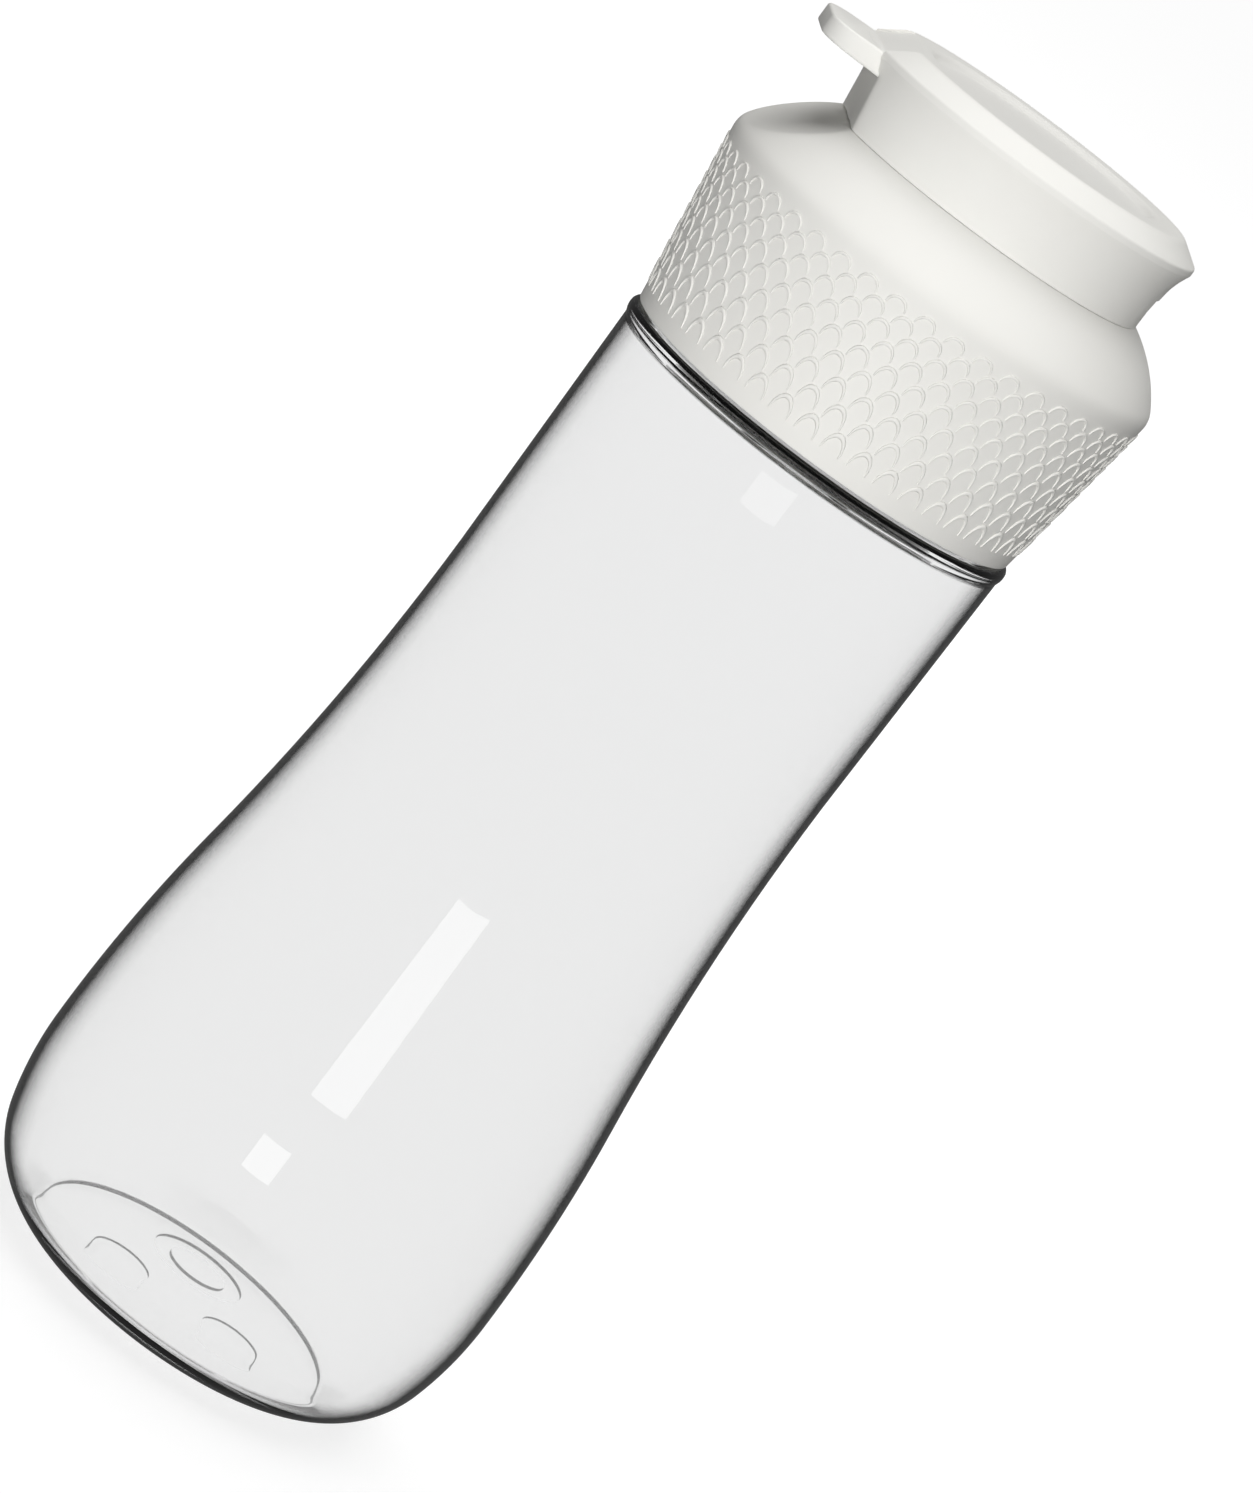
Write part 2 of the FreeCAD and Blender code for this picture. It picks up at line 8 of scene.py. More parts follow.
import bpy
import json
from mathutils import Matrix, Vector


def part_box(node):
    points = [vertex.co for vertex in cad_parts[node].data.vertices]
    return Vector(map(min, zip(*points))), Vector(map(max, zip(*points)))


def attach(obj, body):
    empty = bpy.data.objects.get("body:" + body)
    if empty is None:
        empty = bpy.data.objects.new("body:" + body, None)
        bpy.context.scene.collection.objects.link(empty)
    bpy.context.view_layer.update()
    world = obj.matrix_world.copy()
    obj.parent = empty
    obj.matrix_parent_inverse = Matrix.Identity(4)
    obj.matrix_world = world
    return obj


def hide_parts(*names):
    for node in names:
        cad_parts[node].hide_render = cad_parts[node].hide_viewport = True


bl_info = {
    "name": "Squeeze Bottle",
    "version": (1, 0, 0),
    "blender": (4, 5, 0),
    "location": "View3D > Sidebar > Squeeze Bottle",
    "description": "Builds the pieces of a squeeze bottle over its CAD frame, and a stage for them",
    "category": "Object",
}

import json
import math
from functools import partial

import bmesh
import bpy
from mathutils import Matrix, Vector

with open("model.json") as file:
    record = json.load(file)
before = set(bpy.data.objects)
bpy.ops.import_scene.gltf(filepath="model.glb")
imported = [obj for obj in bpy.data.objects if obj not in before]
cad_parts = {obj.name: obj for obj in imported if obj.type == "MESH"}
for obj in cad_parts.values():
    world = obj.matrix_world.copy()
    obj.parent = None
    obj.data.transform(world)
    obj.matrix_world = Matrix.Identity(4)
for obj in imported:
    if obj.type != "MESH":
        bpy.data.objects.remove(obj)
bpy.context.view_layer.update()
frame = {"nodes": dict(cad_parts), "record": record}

MM = 0.001
JOINTS = {joint["name"]: joint for joint in frame["record"]["behaviour"]["joints"]}
HINGE = Vector(JOINTS["lid_hinge"]["pos_m"])
MOUTH_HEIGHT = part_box("bottle")[1].z
COLLAR_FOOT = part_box("screw_cap")[0].z
NOZZLE_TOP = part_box("screw_cap")[1].z
LID_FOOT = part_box("flip_lid")[0].z
LID_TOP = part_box("flip_lid")[1].z


# Settings

def place(about, metres):
    """A length whose default, in metres, comes from the frame."""
    return bpy.props.FloatProperty(description=about, default=metres, precision=5, unit="LENGTH")


def length(about, millimetres):
    """A length with its default in millimetres."""
    return place(about, millimetres * MM)


def factor(about, default):
    """A plain factor."""
    return bpy.props.FloatProperty(description=about, default=default, min=0.0)


def number(about, default):
    """A number of things."""
    return bpy.props.IntProperty(description=about, default=default, min=1)


def bearing(about, degrees):
    """An angle with its default in degrees."""
    return bpy.props.FloatProperty(
        description=about, default=math.radians(degrees), subtype="ANGLE")


def colour(about, red, green, blue):
    """A colour."""
    return bpy.props.FloatVectorProperty(
        description=about, default=(red, green, blue), size=3, min=0.0, max=1.0, subtype="COLOR")


def titled(group):
    """Name each setting of a group after its identifier."""
    for identifier, setting in group.__annotations__.items():
        setting.keywords["name"] = identifier.replace("_", " ").capitalize()
    return group


@titled
class BottleShape(bpy.types.PropertyGroup):
    """Sizes of the clear bottle and its neck."""

    belly_radius: length("Radius at the widest ring", 34.0)
    belly_height: length("Height of the widest ring", 22.0)
    low_bend: length("Radius of the outline below the widest ring", 47.0)
    high_bend: length("Radius of the outline above the widest ring", 220.0)
    heel_bend: length("Radius of the outline at the heel", 14.3)
    heel_cut: length("How much the foot ring cuts off the heel's arc", 0.5)
    waist_depth: length("How much the grip is narrower than the belly, in radius", 5.7)
    grip_height: length("Height of the narrowest ring", 103.0)
    throat_radius: length("Radius under the bead", 28.65)
    throat_height: length("Height of the bead's lower edge", 138.9)
    bead_height: length("Height of the bead under the collar", 2.1)
    bead_bend: length("Radius of the bead's outline", 2.0)
    # Painted shade: a dark band of this height is painted on the outside of the bead, just under
    # the shoulder
    bead_shade_band: length("Height of the dark line on top of the bead", 0.75)
    wall: length("Thickness of the wall", 1.8)
    floor_thickness: length("Height of the inner floor", 2.2)
    inner_heel_bend: length("Radius of the inner outline at the heel", 8.5)
    shoulder: length("Thickness of the shoulder", 2.0)
    foot_ring: length("Width of the ring that the bottle stands on", 0.6)
    recess: length("Depth of the panel in the base", 0.65)
    neck_radius: length("Outer radius of the neck", 22.5)
    neck_wall: length("Thickness of the neck", 2.0)
    mouth_height: place("Height of the neck's top", MOUTH_HEIGHT)
    edge: length("Rounding of the neck's and the foot's edges", 0.35)
    mark_ring: length("Distance of the three moulded marks from the axis", 10.0)
    mark_radius: length("Radius of a moulded mark in the base", 4.3)
    wide_mark_radius: length("Outer radius of the groove round the rear mark", 6.9)
    mark_depth: length("Depth of a moulded mark", 0.28)
    wide_mark_depth: length("Depth of the groove round the rear mark", 0.42)


@titled
class ThreadShape(bpy.types.PropertyGroup):
    """Sizes of the thread between neck and cap."""

    pitch: length("Rise of one turn", 4.0)
    turns: factor("Number of turns", 1.5)
    start: length("Height of the neck ridge's start above the shoulder", 8.0)
    drop: length("How far the cap's ridge starts below the neck's", 1.85)
    depth: length("Height of the ridge over its wall", 1.2)
    root: length("Width of the ridge at its wall", 2.0)
    crest: length("Width of the ridge at its crest", 0.9)
    sink: length("How deep the ridge sits in its wall", 0.5)
    gap: length("Clearance between a crest and the opposite wall", 0.4)


@titled
class CapShape(bpy.types.PropertyGroup):
    """Sizes of the screw cap, its nozzle and the gasket under it."""

    foot_height: place("Height of the collar's lower edge", COLLAR_FOOT)
    foot_radius: length("Radius of the collar's lower edge", 28.7)
    rim_radius: length("Radius of the collar's upper rim", 31.65)
    rim_height: length("Height of the collar's upper rim over its lower edge", 24.9)
    collar_inset: length("How far the collar stands back under its scales", 0.35)
    collar_wall: length("Thickness of the collar", 1.5)
    skirt_wall: length("Thickness of the threaded skirt", 1.4)
    skirt_lift: length("Height of the skirt's lower edge over the collar's", 2.0)
    core_rise: length("How far the space behind the collar rises over the rim", 1.2)
    dome_height: length("Height of the dome over the rim", 8.3)
    dome_bend: length("Radius of the dome's outline", 20.0)
    seat_radius: length("Radius at which the dome meets the lid", 23.2)
    flat_reach: length("Distance of the flat's lower edge from the axis", 31.55)
    flat_lift: length("Height of the flat's lower edge over the rim", 0.3)
    flat_depth: length("How deep the flat cuts into the seat", 2.1)
    flat_edge: length("Rounding of the flat's edges", 0.06)
    chamber_radius: length("Radius of the chamber under the deck", 21.0)
    chamber_height: length("Height of the chamber over the gasket", 6.9)
    deck_thickness: length("Thickness of the deck round the nozzle", 1.6)
    spigot_radius: length("Outer radius of the ring inside the lid", 19.6)
    spigot_wall: length("Thickness of the ring inside the lid", 1.45)
    spigot_height: length("Height of that ring over the seat", 2.9)
    nozzle_top: place("Height of the nozzle's top", NOZZLE_TOP)
    nozzle_radius: length("Radius at the nozzle's foot", 9.0)
    nozzle_top_radius: length("Radius at the nozzle's top", 8.4)
    nozzle_bore: length("Inner radius of the nozzle", 7.2)
    nozzle_mouth: length("Radius of the nozzle's opening", 5.6)
    nozzle_lip: length("Thickness of the lip over the valve", 1.4)
    gasket_thickness: length("Thickness of the gasket", 1.5)
    gasket_inset: length("How far the gasket stands back from the mouth's bore", 0.1)
    gasket_gap: length("Clearance between the gasket and the skirt", 0.4)
    edge: length("Rounding of the cap's edges", 0.35)
    rim_edge: length("Rounding of the rim between collar and dome", 1.1)


@titled
class ScaleRelief(bpy.types.PropertyGroup):
    """Sizes of the fish-scale relief on the collar."""

    columns: number("Scales in one row", 46)
    rows: number("Rows of scales", 9)
    top_inset: length("Distance of the first row from the rim", 2.2)
    first_row: length("Height of the uppermost row", 1.645)
    row_growth: length("How much each row is higher than the one above", 0.17)
    arch_share: factor("Height of a scale as a share of its row", 0.84)
    arch_width: length("Width of a scale", 2.7)
    ridge: length("Half the thickness of a scale's raised edge", 0.24)
    turn: bearing("Turn of the first column", 2.0)


@titled
class ValveShape(bpy.types.PropertyGroup):
    """Sizes of the slit valve and of the ring that holds it."""

    flange: length("Thickness of the valve's flange", 1.5)
    fit: length("Clearance round the flange", 0.1)
    gap: length("Clearance inside the nozzle's mouth", 0.3)
    dish: length("Depth of the valve's dished face", 0.6)
    web: length("Thickness of the valve's face", 0.7)
    skirt: length("Thickness of the valve's neck", 0.9)
    slit_length: length("Length of each slit", 7.0)
    slit_width: length("Width of each slit", 0.3)
    ring_height: length("Height of the retaining ring", 4.0)
    ring_bore: length("Inner radius of the retaining ring", 5.2)
    ring_fit: length("Clearance round the retaining ring", 0.03)
    edge: length("Rounding of the edges", 0.2)


@titled
class LidShape(bpy.types.PropertyGroup):
    """Sizes of the flip lid, its tab, its hinge and its seal."""

    foot_height: place("Height of the lid's lower edge", LID_FOOT)
    top_height: place("Height of the lid's top", LID_TOP)
    seat_gap: length("Clearance over the cap's seat", 0.04)
    bore: length("Inner radius", 20.4)
    foot_radius: length("Radius of the lid's lower edge", 23.2)
    flare_radius: length("Radius at which the neck starts to flare", 23.6)
    flare_rise: length("Height of that place over the lower edge", 5.0)
    flare_bend: length("Radius of the flare's outline", 11.0)
    lip_radius: length("Radius of the lip", 24.8)
    lip_rise: length("Height of the lip over the lower edge", 9.0)
    lip_band: length("Height of the lip's upright band", 0.9)
    top_radius: length("Radius at which the bevel meets the top", 21.5)
    dish_rim: length("Outer radius of the dish in the top", 17.0)
    dish_radius: length("Radius of the dish's floor", 16.0)
    dish_depth: length("Depth of the dish in the top", 0.8)
    plate: length("Thickness of the top", 1.7)
    boss_bore: length("Inner radius of the seal's boss", 7.4)
    boss_wall: length("Thickness of the seal's boss", 1.8)
    seal_flange: length("Thickness of the seal's flange", 1.0)
    seal_fit: length("Clearance of the seal in its boss", 0.05)
    tab_reach: length("Distance of the tab's tip from the axis", 30.6)
    tab_root: length("Distance of the tab's root from the axis", 23.3)
    tab_width: length("Width of the tab", 17.0)
    tab_rise: length("Height of the tab's root over the lid's lower edge", 9.6)
    tab_droop: length("How much lower the tip is than the root", 0.1)
    tab_thick: length("Thickness of the tab at its root", 2.9)
    tab_thin: length("Thickness of the tab at its tip", 2.6)
    tab_corner: length("Radius of the tab's corners", 4.5)
    tab_sink: length("How far the tab reaches into the lid, from the axis", 21.4)
    tab_edge: length("Rounding of the tab's edges", 0.35)
    ramp_reach: length("Distance of the ramp's upper end from the axis", 19.0)
    flat_foot: length("Distance of the flat's lower edge from the axis", 21.1)
    flat_head: length("Distance of the flat's upper edge from the axis", 22.1)
    flat_edge: length("Rounding of the flat's edges", 0.12)
    knuckle_radius: length("Radius of the hinge's knuckle and ears", 1.4)
    knuckle_width: length("Width of the lid's knuckle", 4.8)
    knuckle_root: length("How far the knuckle reaches into the lid", 0.6)
    ear_width: length("Width of each of the cap's ears", 5.0)
    side_gap: length("Clearance beside knuckle and ears", 0.2)
    window_room: length("Clearance before the ears", 1.6)
    window_rise: length("Height of the hinge window over the hinge", 2.6)
    edge: length("Rounding of the lid's edges", 0.3)
    lip_edge: length("Rounding of the lip", 0.25)


@titled
class Finish(bpy.types.PropertyGroup):
    """Colours of the materials."""

    clear: colour("Tint of the bottle's wall", 0.925, 0.926, 0.926)
    # Painted shade: the wall's outside darkens towards this colour where it is seen along its face,
    # standing in for the dark rim round a clear wall's outline
    clear_rim_shade: colour("Tint of the bottle's wall seen along its face", 0.0008, 0.0008, 0.0008)
    cap: colour("Colour of the cap and the lid", 0.83, 0.825, 0.79)
    cap_shade: colour("Slightly duller patches of the cap and the lid", 0.80, 0.79, 0.755)
    seal: colour("Colour of gasket, valve and seal", 0.86, 0.86, 0.84)
    seal_shade: colour("Slightly duller patches of the soft pieces", 0.80, 0.80, 0.775)
    steel: colour("Colour of the hinge pin", 0.62, 0.62, 0.63)
    steel_shade: colour("Darker streaks of the hinge pin", 0.48, 0.48, 0.49)


@titled
class StageSetup(bpy.types.PropertyGroup):
    """Camera, light and floor."""

    camera_azimuth: bearing("Angle of the camera from -Y towards the tab", 10.0)
    camera_distance: length("Level distance of the camera from the axis", 750.0)
    camera_height: length("Height of the camera over the floor", 252.4)
    camera_roll: bearing("Turn of the bottle's axis in the picture, clockwise", 36.82)
    aim_height: length("Height of the point of the axis that the framing starts from", 92.6)
    frame_right: length("Move of the frame to its right, at the bottle", 4.0)
    frame_down: length("Move of the frame downwards, at the bottle", 1.25)
    lens: factor("Focal length of the camera, in millimetres", 146.72)
    key_level: factor("Light that a surface gets from the front lamp, as a share of white", 0.88)
    top_level: factor("Light that a surface gets from the top lamp, as a share of white", 1.42)
    glint_level: factor("Brightness of the panes that show as glints, as a share of white", 2.8)
    fill_level: factor("Brightness of the room, as a share of white", 0.0)
    gloss_level: factor("Brightness of floor and room in reflections, as a share of white", 0.1)
    floor: colour("Colour of the floor", 0.34, 0.34, 0.34)
    near_glow: factor("Share of white that the floor shows by itself round the bottle", 0.76)
    far_glow: factor("Share of white that the floor shows by itself far from the bottle", 0.97)


@titled
class SqueezeBottle(bpy.types.PropertyGroup):
    """All settings of the squeeze bottle."""

    bottle: bpy.props.PointerProperty(type=BottleShape)
    thread: bpy.props.PointerProperty(type=ThreadShape)
    cap: bpy.props.PointerProperty(type=CapShape)
    scales: bpy.props.PointerProperty(type=ScaleRelief)
    valve: bpy.props.PointerProperty(type=ValveShape)
    lid: bpy.props.PointerProperty(type=LidShape)
    finish: bpy.props.PointerProperty(type=Finish)
    stage: bpy.props.PointerProperty(type=StageSetup)


# Outlines

HOLD = 0.25 * MM
HOLD_ROOM = 4
ARC_STEP = 0.5 * MM
ARC_STATIONS = 90
LINE_STEP = 2.5 * MM
CORNER_STEPS = 5
TINY = 1e-7
OVERRUN = 2 * MM
SMALL_SEGMENTS = 128
TAB_SIDE = math.pi
TURN_STEP = math.radians(1.8)


def stretch(start, finish, bend):
    """Length of the line, or of a bend's arc, between two points, and a function that walks it.

    The arc's centre lies on the left of the way, or on the right where the bend is negative.
    """
    chord = finish - start
    if not bend:
        return chord.length, lambda way: start + chord * (way / chord.length)
    half = chord.length / 2
    side = math.copysign(1.0, bend)
    left = Vector((-chord.y, chord.x)) / chord.length
    centre = start + chord / 2 + left * side * math.sqrt(max(bend * bend - half * half, 0.0))
    turn = side * 2 * math.asin(min(half / abs(bend), 1.0))
    whole = abs(bend * turn)
    return whole, lambda way: centre + Matrix.Rotation(turn * way / whole, 2) @ (start - centre)


def stations(first, last, step, hold=0.0):
    """Ways along a stretch: evenly spaced, and one more close to each end where there is a hold."""
    count = max(1, math.ceil((last - first) / step - TINY))
    ways = [first + (last - first) * index / count for index in range(count + 1)]
    if hold and last - first > HOLD_ROOM * hold:
        ways = sorted(ways + [first + hold, last - hold])
    return ways


def outline(corners):
    """Points of a closed outline with rounded corners.

    A corner is (across, up, rounding, bend of the stretch that follows). The last two may be left
    off where they are nought.
    """
    corners = [tuple(corner) + (0.0,) * (4 - len(corner)) for corner in corners]
    spots = [Vector(corner[:2]) for corner in corners]
    points = []
    for index, (_, _, rounding, bend) in enumerate(corners):
        after = (index + 1) % len(corners)
        whole, walk = stretch(spots[index], spots[after], bend)
        trim = corners[after][2]
        if bend:
            ways = stations(rounding, whole - trim, max(ARC_STEP, abs(bend) / ARC_STATIONS))
        else:
            ways = stations(rounding, whole - trim, LINE_STEP, HOLD)
        points.extend(walk(way) for way in ways)
        if not trim:
            points.pop()
            continue
        following = (after + 1) % len(corners)
        _, walk_on = stretch(spots[after], spots[following], corners[after][3])
        start, finish = walk(whole - trim), walk_on(trim)
        for step in range(1, CORNER_STEPS):
            part = step / CORNER_STEPS
            pull = spots[after] * 2 * part * (1 - part)
            points.append(start * (1 - part) ** 2 + pull + finish * part ** 2)
    return points


def box_outline(left, right, low, high):
    """Corners of a rectangle, seen from the side."""
    return [Vector((left, low)), Vector((right, low)), Vector((right, high)), Vector((left, high))]


def ring_outline(inner, outer, low, high, edge):
    """Outline of a flat ring with rounded edges."""
    return outline([(*corner, edge) for corner in box_outline(inner, outer, low, high)])


def even_turn(count):
    """Angles of a whole turn in equal steps."""
    return [2 * math.pi * index / count for index in range(count)]


def graded_turn(fine_step, reach):
    """Angles of a whole turn, with fine steps within a reach of the tab's side."""
    angles = []
    angle = 0.0
    while angle < 2 * math.pi - fine_step / 2:
        angles.append(angle)
        near = abs(math.remainder(angle - TAB_SIDE, 2 * math.pi)) < reach
        angle += fine_step if near else TURN_STEP
    return angles


# Meshes

BEVEL_STEPS = 3
CREASE_ANGLE = math.radians(32)
PRESS_BEFORE = 6
PRESS_AFTER = 20


def new_piece(name, data):
    """Link an object with the given data to the scene, at the origin."""
    piece = bpy.data.objects.new(name, data)
    bpy.context.scene.collection.objects.link(piece)
    return piece


def mesh_from(name, points, faces):
    """Make a piece of points and faces, with its faces turned outwards and shaded smooth."""
    mesh = bpy.data.meshes.new(name)
    mesh.from_pydata(points, [], faces)
    work = bmesh.new()
    work.from_mesh(mesh)
    bmesh.ops.recalc_face_normals(work, faces=work.faces)
    work.to_mesh(mesh)
    work.free()
    mesh.shade_smooth()
    return new_piece(name, mesh)


def turned(name, profile, angles=even_turn(SMALL_SEGMENTS), shape=None):
    """Turn a closed outline about Z. A function may then move each point of the result."""
    points = []
    rings = []
    for spot in profile:
        if spot.x < TINY:
            ring = [len(points)] * len(angles)
            points.append(Vector((0, 0, spot.y)))
        else:
            ring = range(len(points), len(points) + len(angles))
            points.extend(
                Vector((spot.x * math.cos(angle), spot.x * math.sin(angle), spot.y))
                for angle in angles)
        rings.append(ring)
    faces = []
    for here, there in zip(rings, rings[1:] + rings[:1]):
        for index in range(len(angles)):
            after = (index + 1) % len(angles)
            corners = dict.fromkeys((here[index], here[after], there[after], there[index]))
            if len(corners) > 2:
                faces.append(tuple(corners))
    if shape:
        points = [shape(point) for point in points]
    return mesh_from(name, points, faces)


def side_faces(count):
    """Faces between two rows of points that follow each other, each of one count."""
    return [(index, (index + 1) % count, count + (index + 1) % count, count + index)
            for index in range(count)]


def prism(name, profile, width):
    """Extrude an outline, seen from the side (x, z), to both sides along Y."""
    count = len(profile)
    points = [Vector((spot.x, side * width / 2, spot.y)) for side in (-1, 1) for spot in profile]
    faces = [tuple(range(count)), tuple(range(count, 2 * count))]
    return mesh_from(name, points, faces + side_faces(count))


def bake(piece):
    """Turn a piece and its modifiers into a plain mesh."""
    graph = bpy.context.evaluated_depsgraph_get()
    mesh = bpy.data.meshes.new_from_object(piece.evaluated_get(graph))
    piece.modifiers.clear()
    old = piece.data
    piece.data = mesh
    bpy.data.meshes.remove(old)
    return piece


def soften(piece, width):
    """Round the sharp edges of a simple piece."""
    modifier = piece.modifiers.new("edges", "BEVEL")
    modifier.width = width
    modifier.segments = BEVEL_STEPS
    modifier.limit_method = "ANGLE"
    return bake(piece)


def combine(piece, tool, operation):
    """Join a tool to a piece, or cut it out of it."""
    modifier = piece.modifiers.new("combine", "BOOLEAN")
    modifier.object = tool
    modifier.operation = operation
    modifier.solver = "EXACT"
    bake(piece)
    bpy.data.objects.remove(tool)


def crease(piece):
    """Shade a piece smooth but for its sharp edges."""
    piece.data.shade_smooth()
    piece.data.set_sharp_from_angle(angle=CREASE_ANGLE)


def side_facing(low, high):
    """Direction that a flat on the tab's side faces, from its lower and its upper edge."""
    climb = (high - low).normalized()
    return Vector((-climb.z, 0, climb.x))


def press(point, normal, offset, edge):
    """Move a point that lies outside a plane back to it, with a rounded edge."""
    out = point.dot(normal) - offset
    if out < -PRESS_BEFORE * edge:
        return point
    depth = out if out > PRESS_AFTER * edge else edge * math.log1p(math.exp(out / edge))
    return point - normal * depth


def fade(value, start, finish):
    """One before the start, nought after the finish, and a smooth change between."""
    part = min(max((finish - value) / (finish - start), 0.0), 1.0)
    return part * part * (3 - 2 * part)


def settle(piece, material, body, slot, *nodes):
    """Give a piece its material and its body, and hide the nodes that it stands for. The slot is
    not used.
    """
    piece.data.materials.clear()
    piece.data.materials.append(material)
    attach(piece, body)
    if nodes:
        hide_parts(*nodes)


# Node trees

def put(tree, kind, inputs=None, **settings):
    """Add a node, set its properties, and set or link its inputs."""
    node = tree.nodes.new(kind)
    for name, setting in settings.items():
        setattr(node, name, setting)
    for key, value in (inputs or {}).items():
        if isinstance(value, bpy.types.NodeSocket):
            tree.links.new(value, node.inputs[key])
        else:
            node.inputs[key].default_value = value
    return node


def calculate(tree, operation, *values):
    """Add a Math node and return its result."""
    return put(tree, "ShaderNodeMath", dict(enumerate(values)), operation=operation).outputs[0]


def vector(tree, x=0.0, y=0.0, z=0.0):
    """Join three values to a vector."""
    return put(tree, "ShaderNodeCombineXYZ", {"X": x, "Y": y, "Z": z}).outputs[0]


def new_tree(name, **inputs):
    """Make a Geometry Nodes tree with named inputs, a material and one geometry output."""
    tree = bpy.data.node_groups.new(name, "GeometryNodeTree")
    for title, kind in inputs.items():
        tree.interface.new_socket(title, in_out="INPUT", socket_type=kind)
    tree.interface.new_socket("material", in_out="INPUT", socket_type="NodeSocketMaterial")
    tree.interface.new_socket("Geometry", in_out="OUTPUT", socket_type="NodeSocketGeometry")
    return tree, tree.nodes.new("NodeGroupInput").outputs, partial(calculate, tree)


def close_tree(tree, geometry, material):
    """Realise a tree's instances, shade them smooth, give them a material and put them out."""
    real = put(tree, "GeometryNodeRealizeInstances", {"Geometry": geometry})
    smooth = put(tree, "GeometryNodeSetShadeSmooth", {"Geometry": real.outputs[0]})
    dressed = put(tree, "GeometryNodeSetMaterial", {
        "Geometry": smooth.outputs[0], "Material": material})
    put(tree, "NodeGroupOutput", {"Geometry": dressed.outputs[0]})
    return tree


def grow(name, tree, **values):
    """Make a plain mesh piece from a Geometry Nodes tree with the given inputs."""
    piece = new_piece(name, bpy.data.meshes.new(name))
    modifier = piece.modifiers.new("nodes", "NODES")
    modifier.node_group = tree
    for item in tree.interface.items_tree:
        if item.in_out == "INPUT":
            modifier[item.identifier] = values[item.name]
    return bake(piece)


FLOAT = "NodeSocketFloat"
COUNT = "NodeSocketInt"
THREAD = "thread_ridge"
SPIRAL_STEPS = 96


def thread_tree():
    """A ridge that climbs round a wall; a negative depth makes it face inwards."""
    tree, given, calc = new_tree(
        THREAD, radius=FLOAT, foot=FLOAT, pitch=FLOAT, turns=FLOAT, depth=FLOAT, root=FLOAT,
        crest=FLOAT, sink=FLOAT)
    spiral = put(tree, "GeometryNodeCurveSpiral", {
        "Resolution": SPIRAL_STEPS, "Rotations": given["turns"], "Start Radius": given["radius"],
        "End Radius": given["radius"], "Height": calc("MULTIPLY", given["pitch"], given["turns"])})
    raised = put(tree, "GeometryNodeTransform", {
        "Geometry": spiral.outputs[0], "Translation": vector(tree, z=given["foot"])})
    upright = put(tree, "GeometryNodeSetCurveNormal", {"Curve": raised.outputs[0]}, mode="Z_UP")
    side = calc("SIGN", given["depth"])
    sunk = calc("MULTIPLY", calc("MULTIPLY", given["sink"], side), -1.0)
    half_root = calc("MULTIPLY", given["root"], 0.5)
    half_crest = calc("MULTIPLY", given["crest"], 0.5)
    section = put(tree, "GeometryNodeCurvePrimitiveQuadrilateral", {
        "Point 1": vector(tree, sunk, half_root),
        "Point 2": vector(tree, given["depth"], half_crest),
        "Point 3": vector(tree, given["depth"], calc("MULTIPLY", half_crest, -1.0)),
        "Point 4": vector(tree, sunk, calc("MULTIPLY", half_root, -1.0))}, mode="POINTS")
    ridge = put(tree, "GeometryNodeCurveToMesh", {
        "Curve": upright.outputs[0], "Profile Curve": section.outputs[0], "Fill Caps": True})
    return close_tree(tree, ridge.outputs[0], given["material"])


ARCH_POINTS = 11
RIDGE_SIDES = 6
RIDGE_END = 0.4


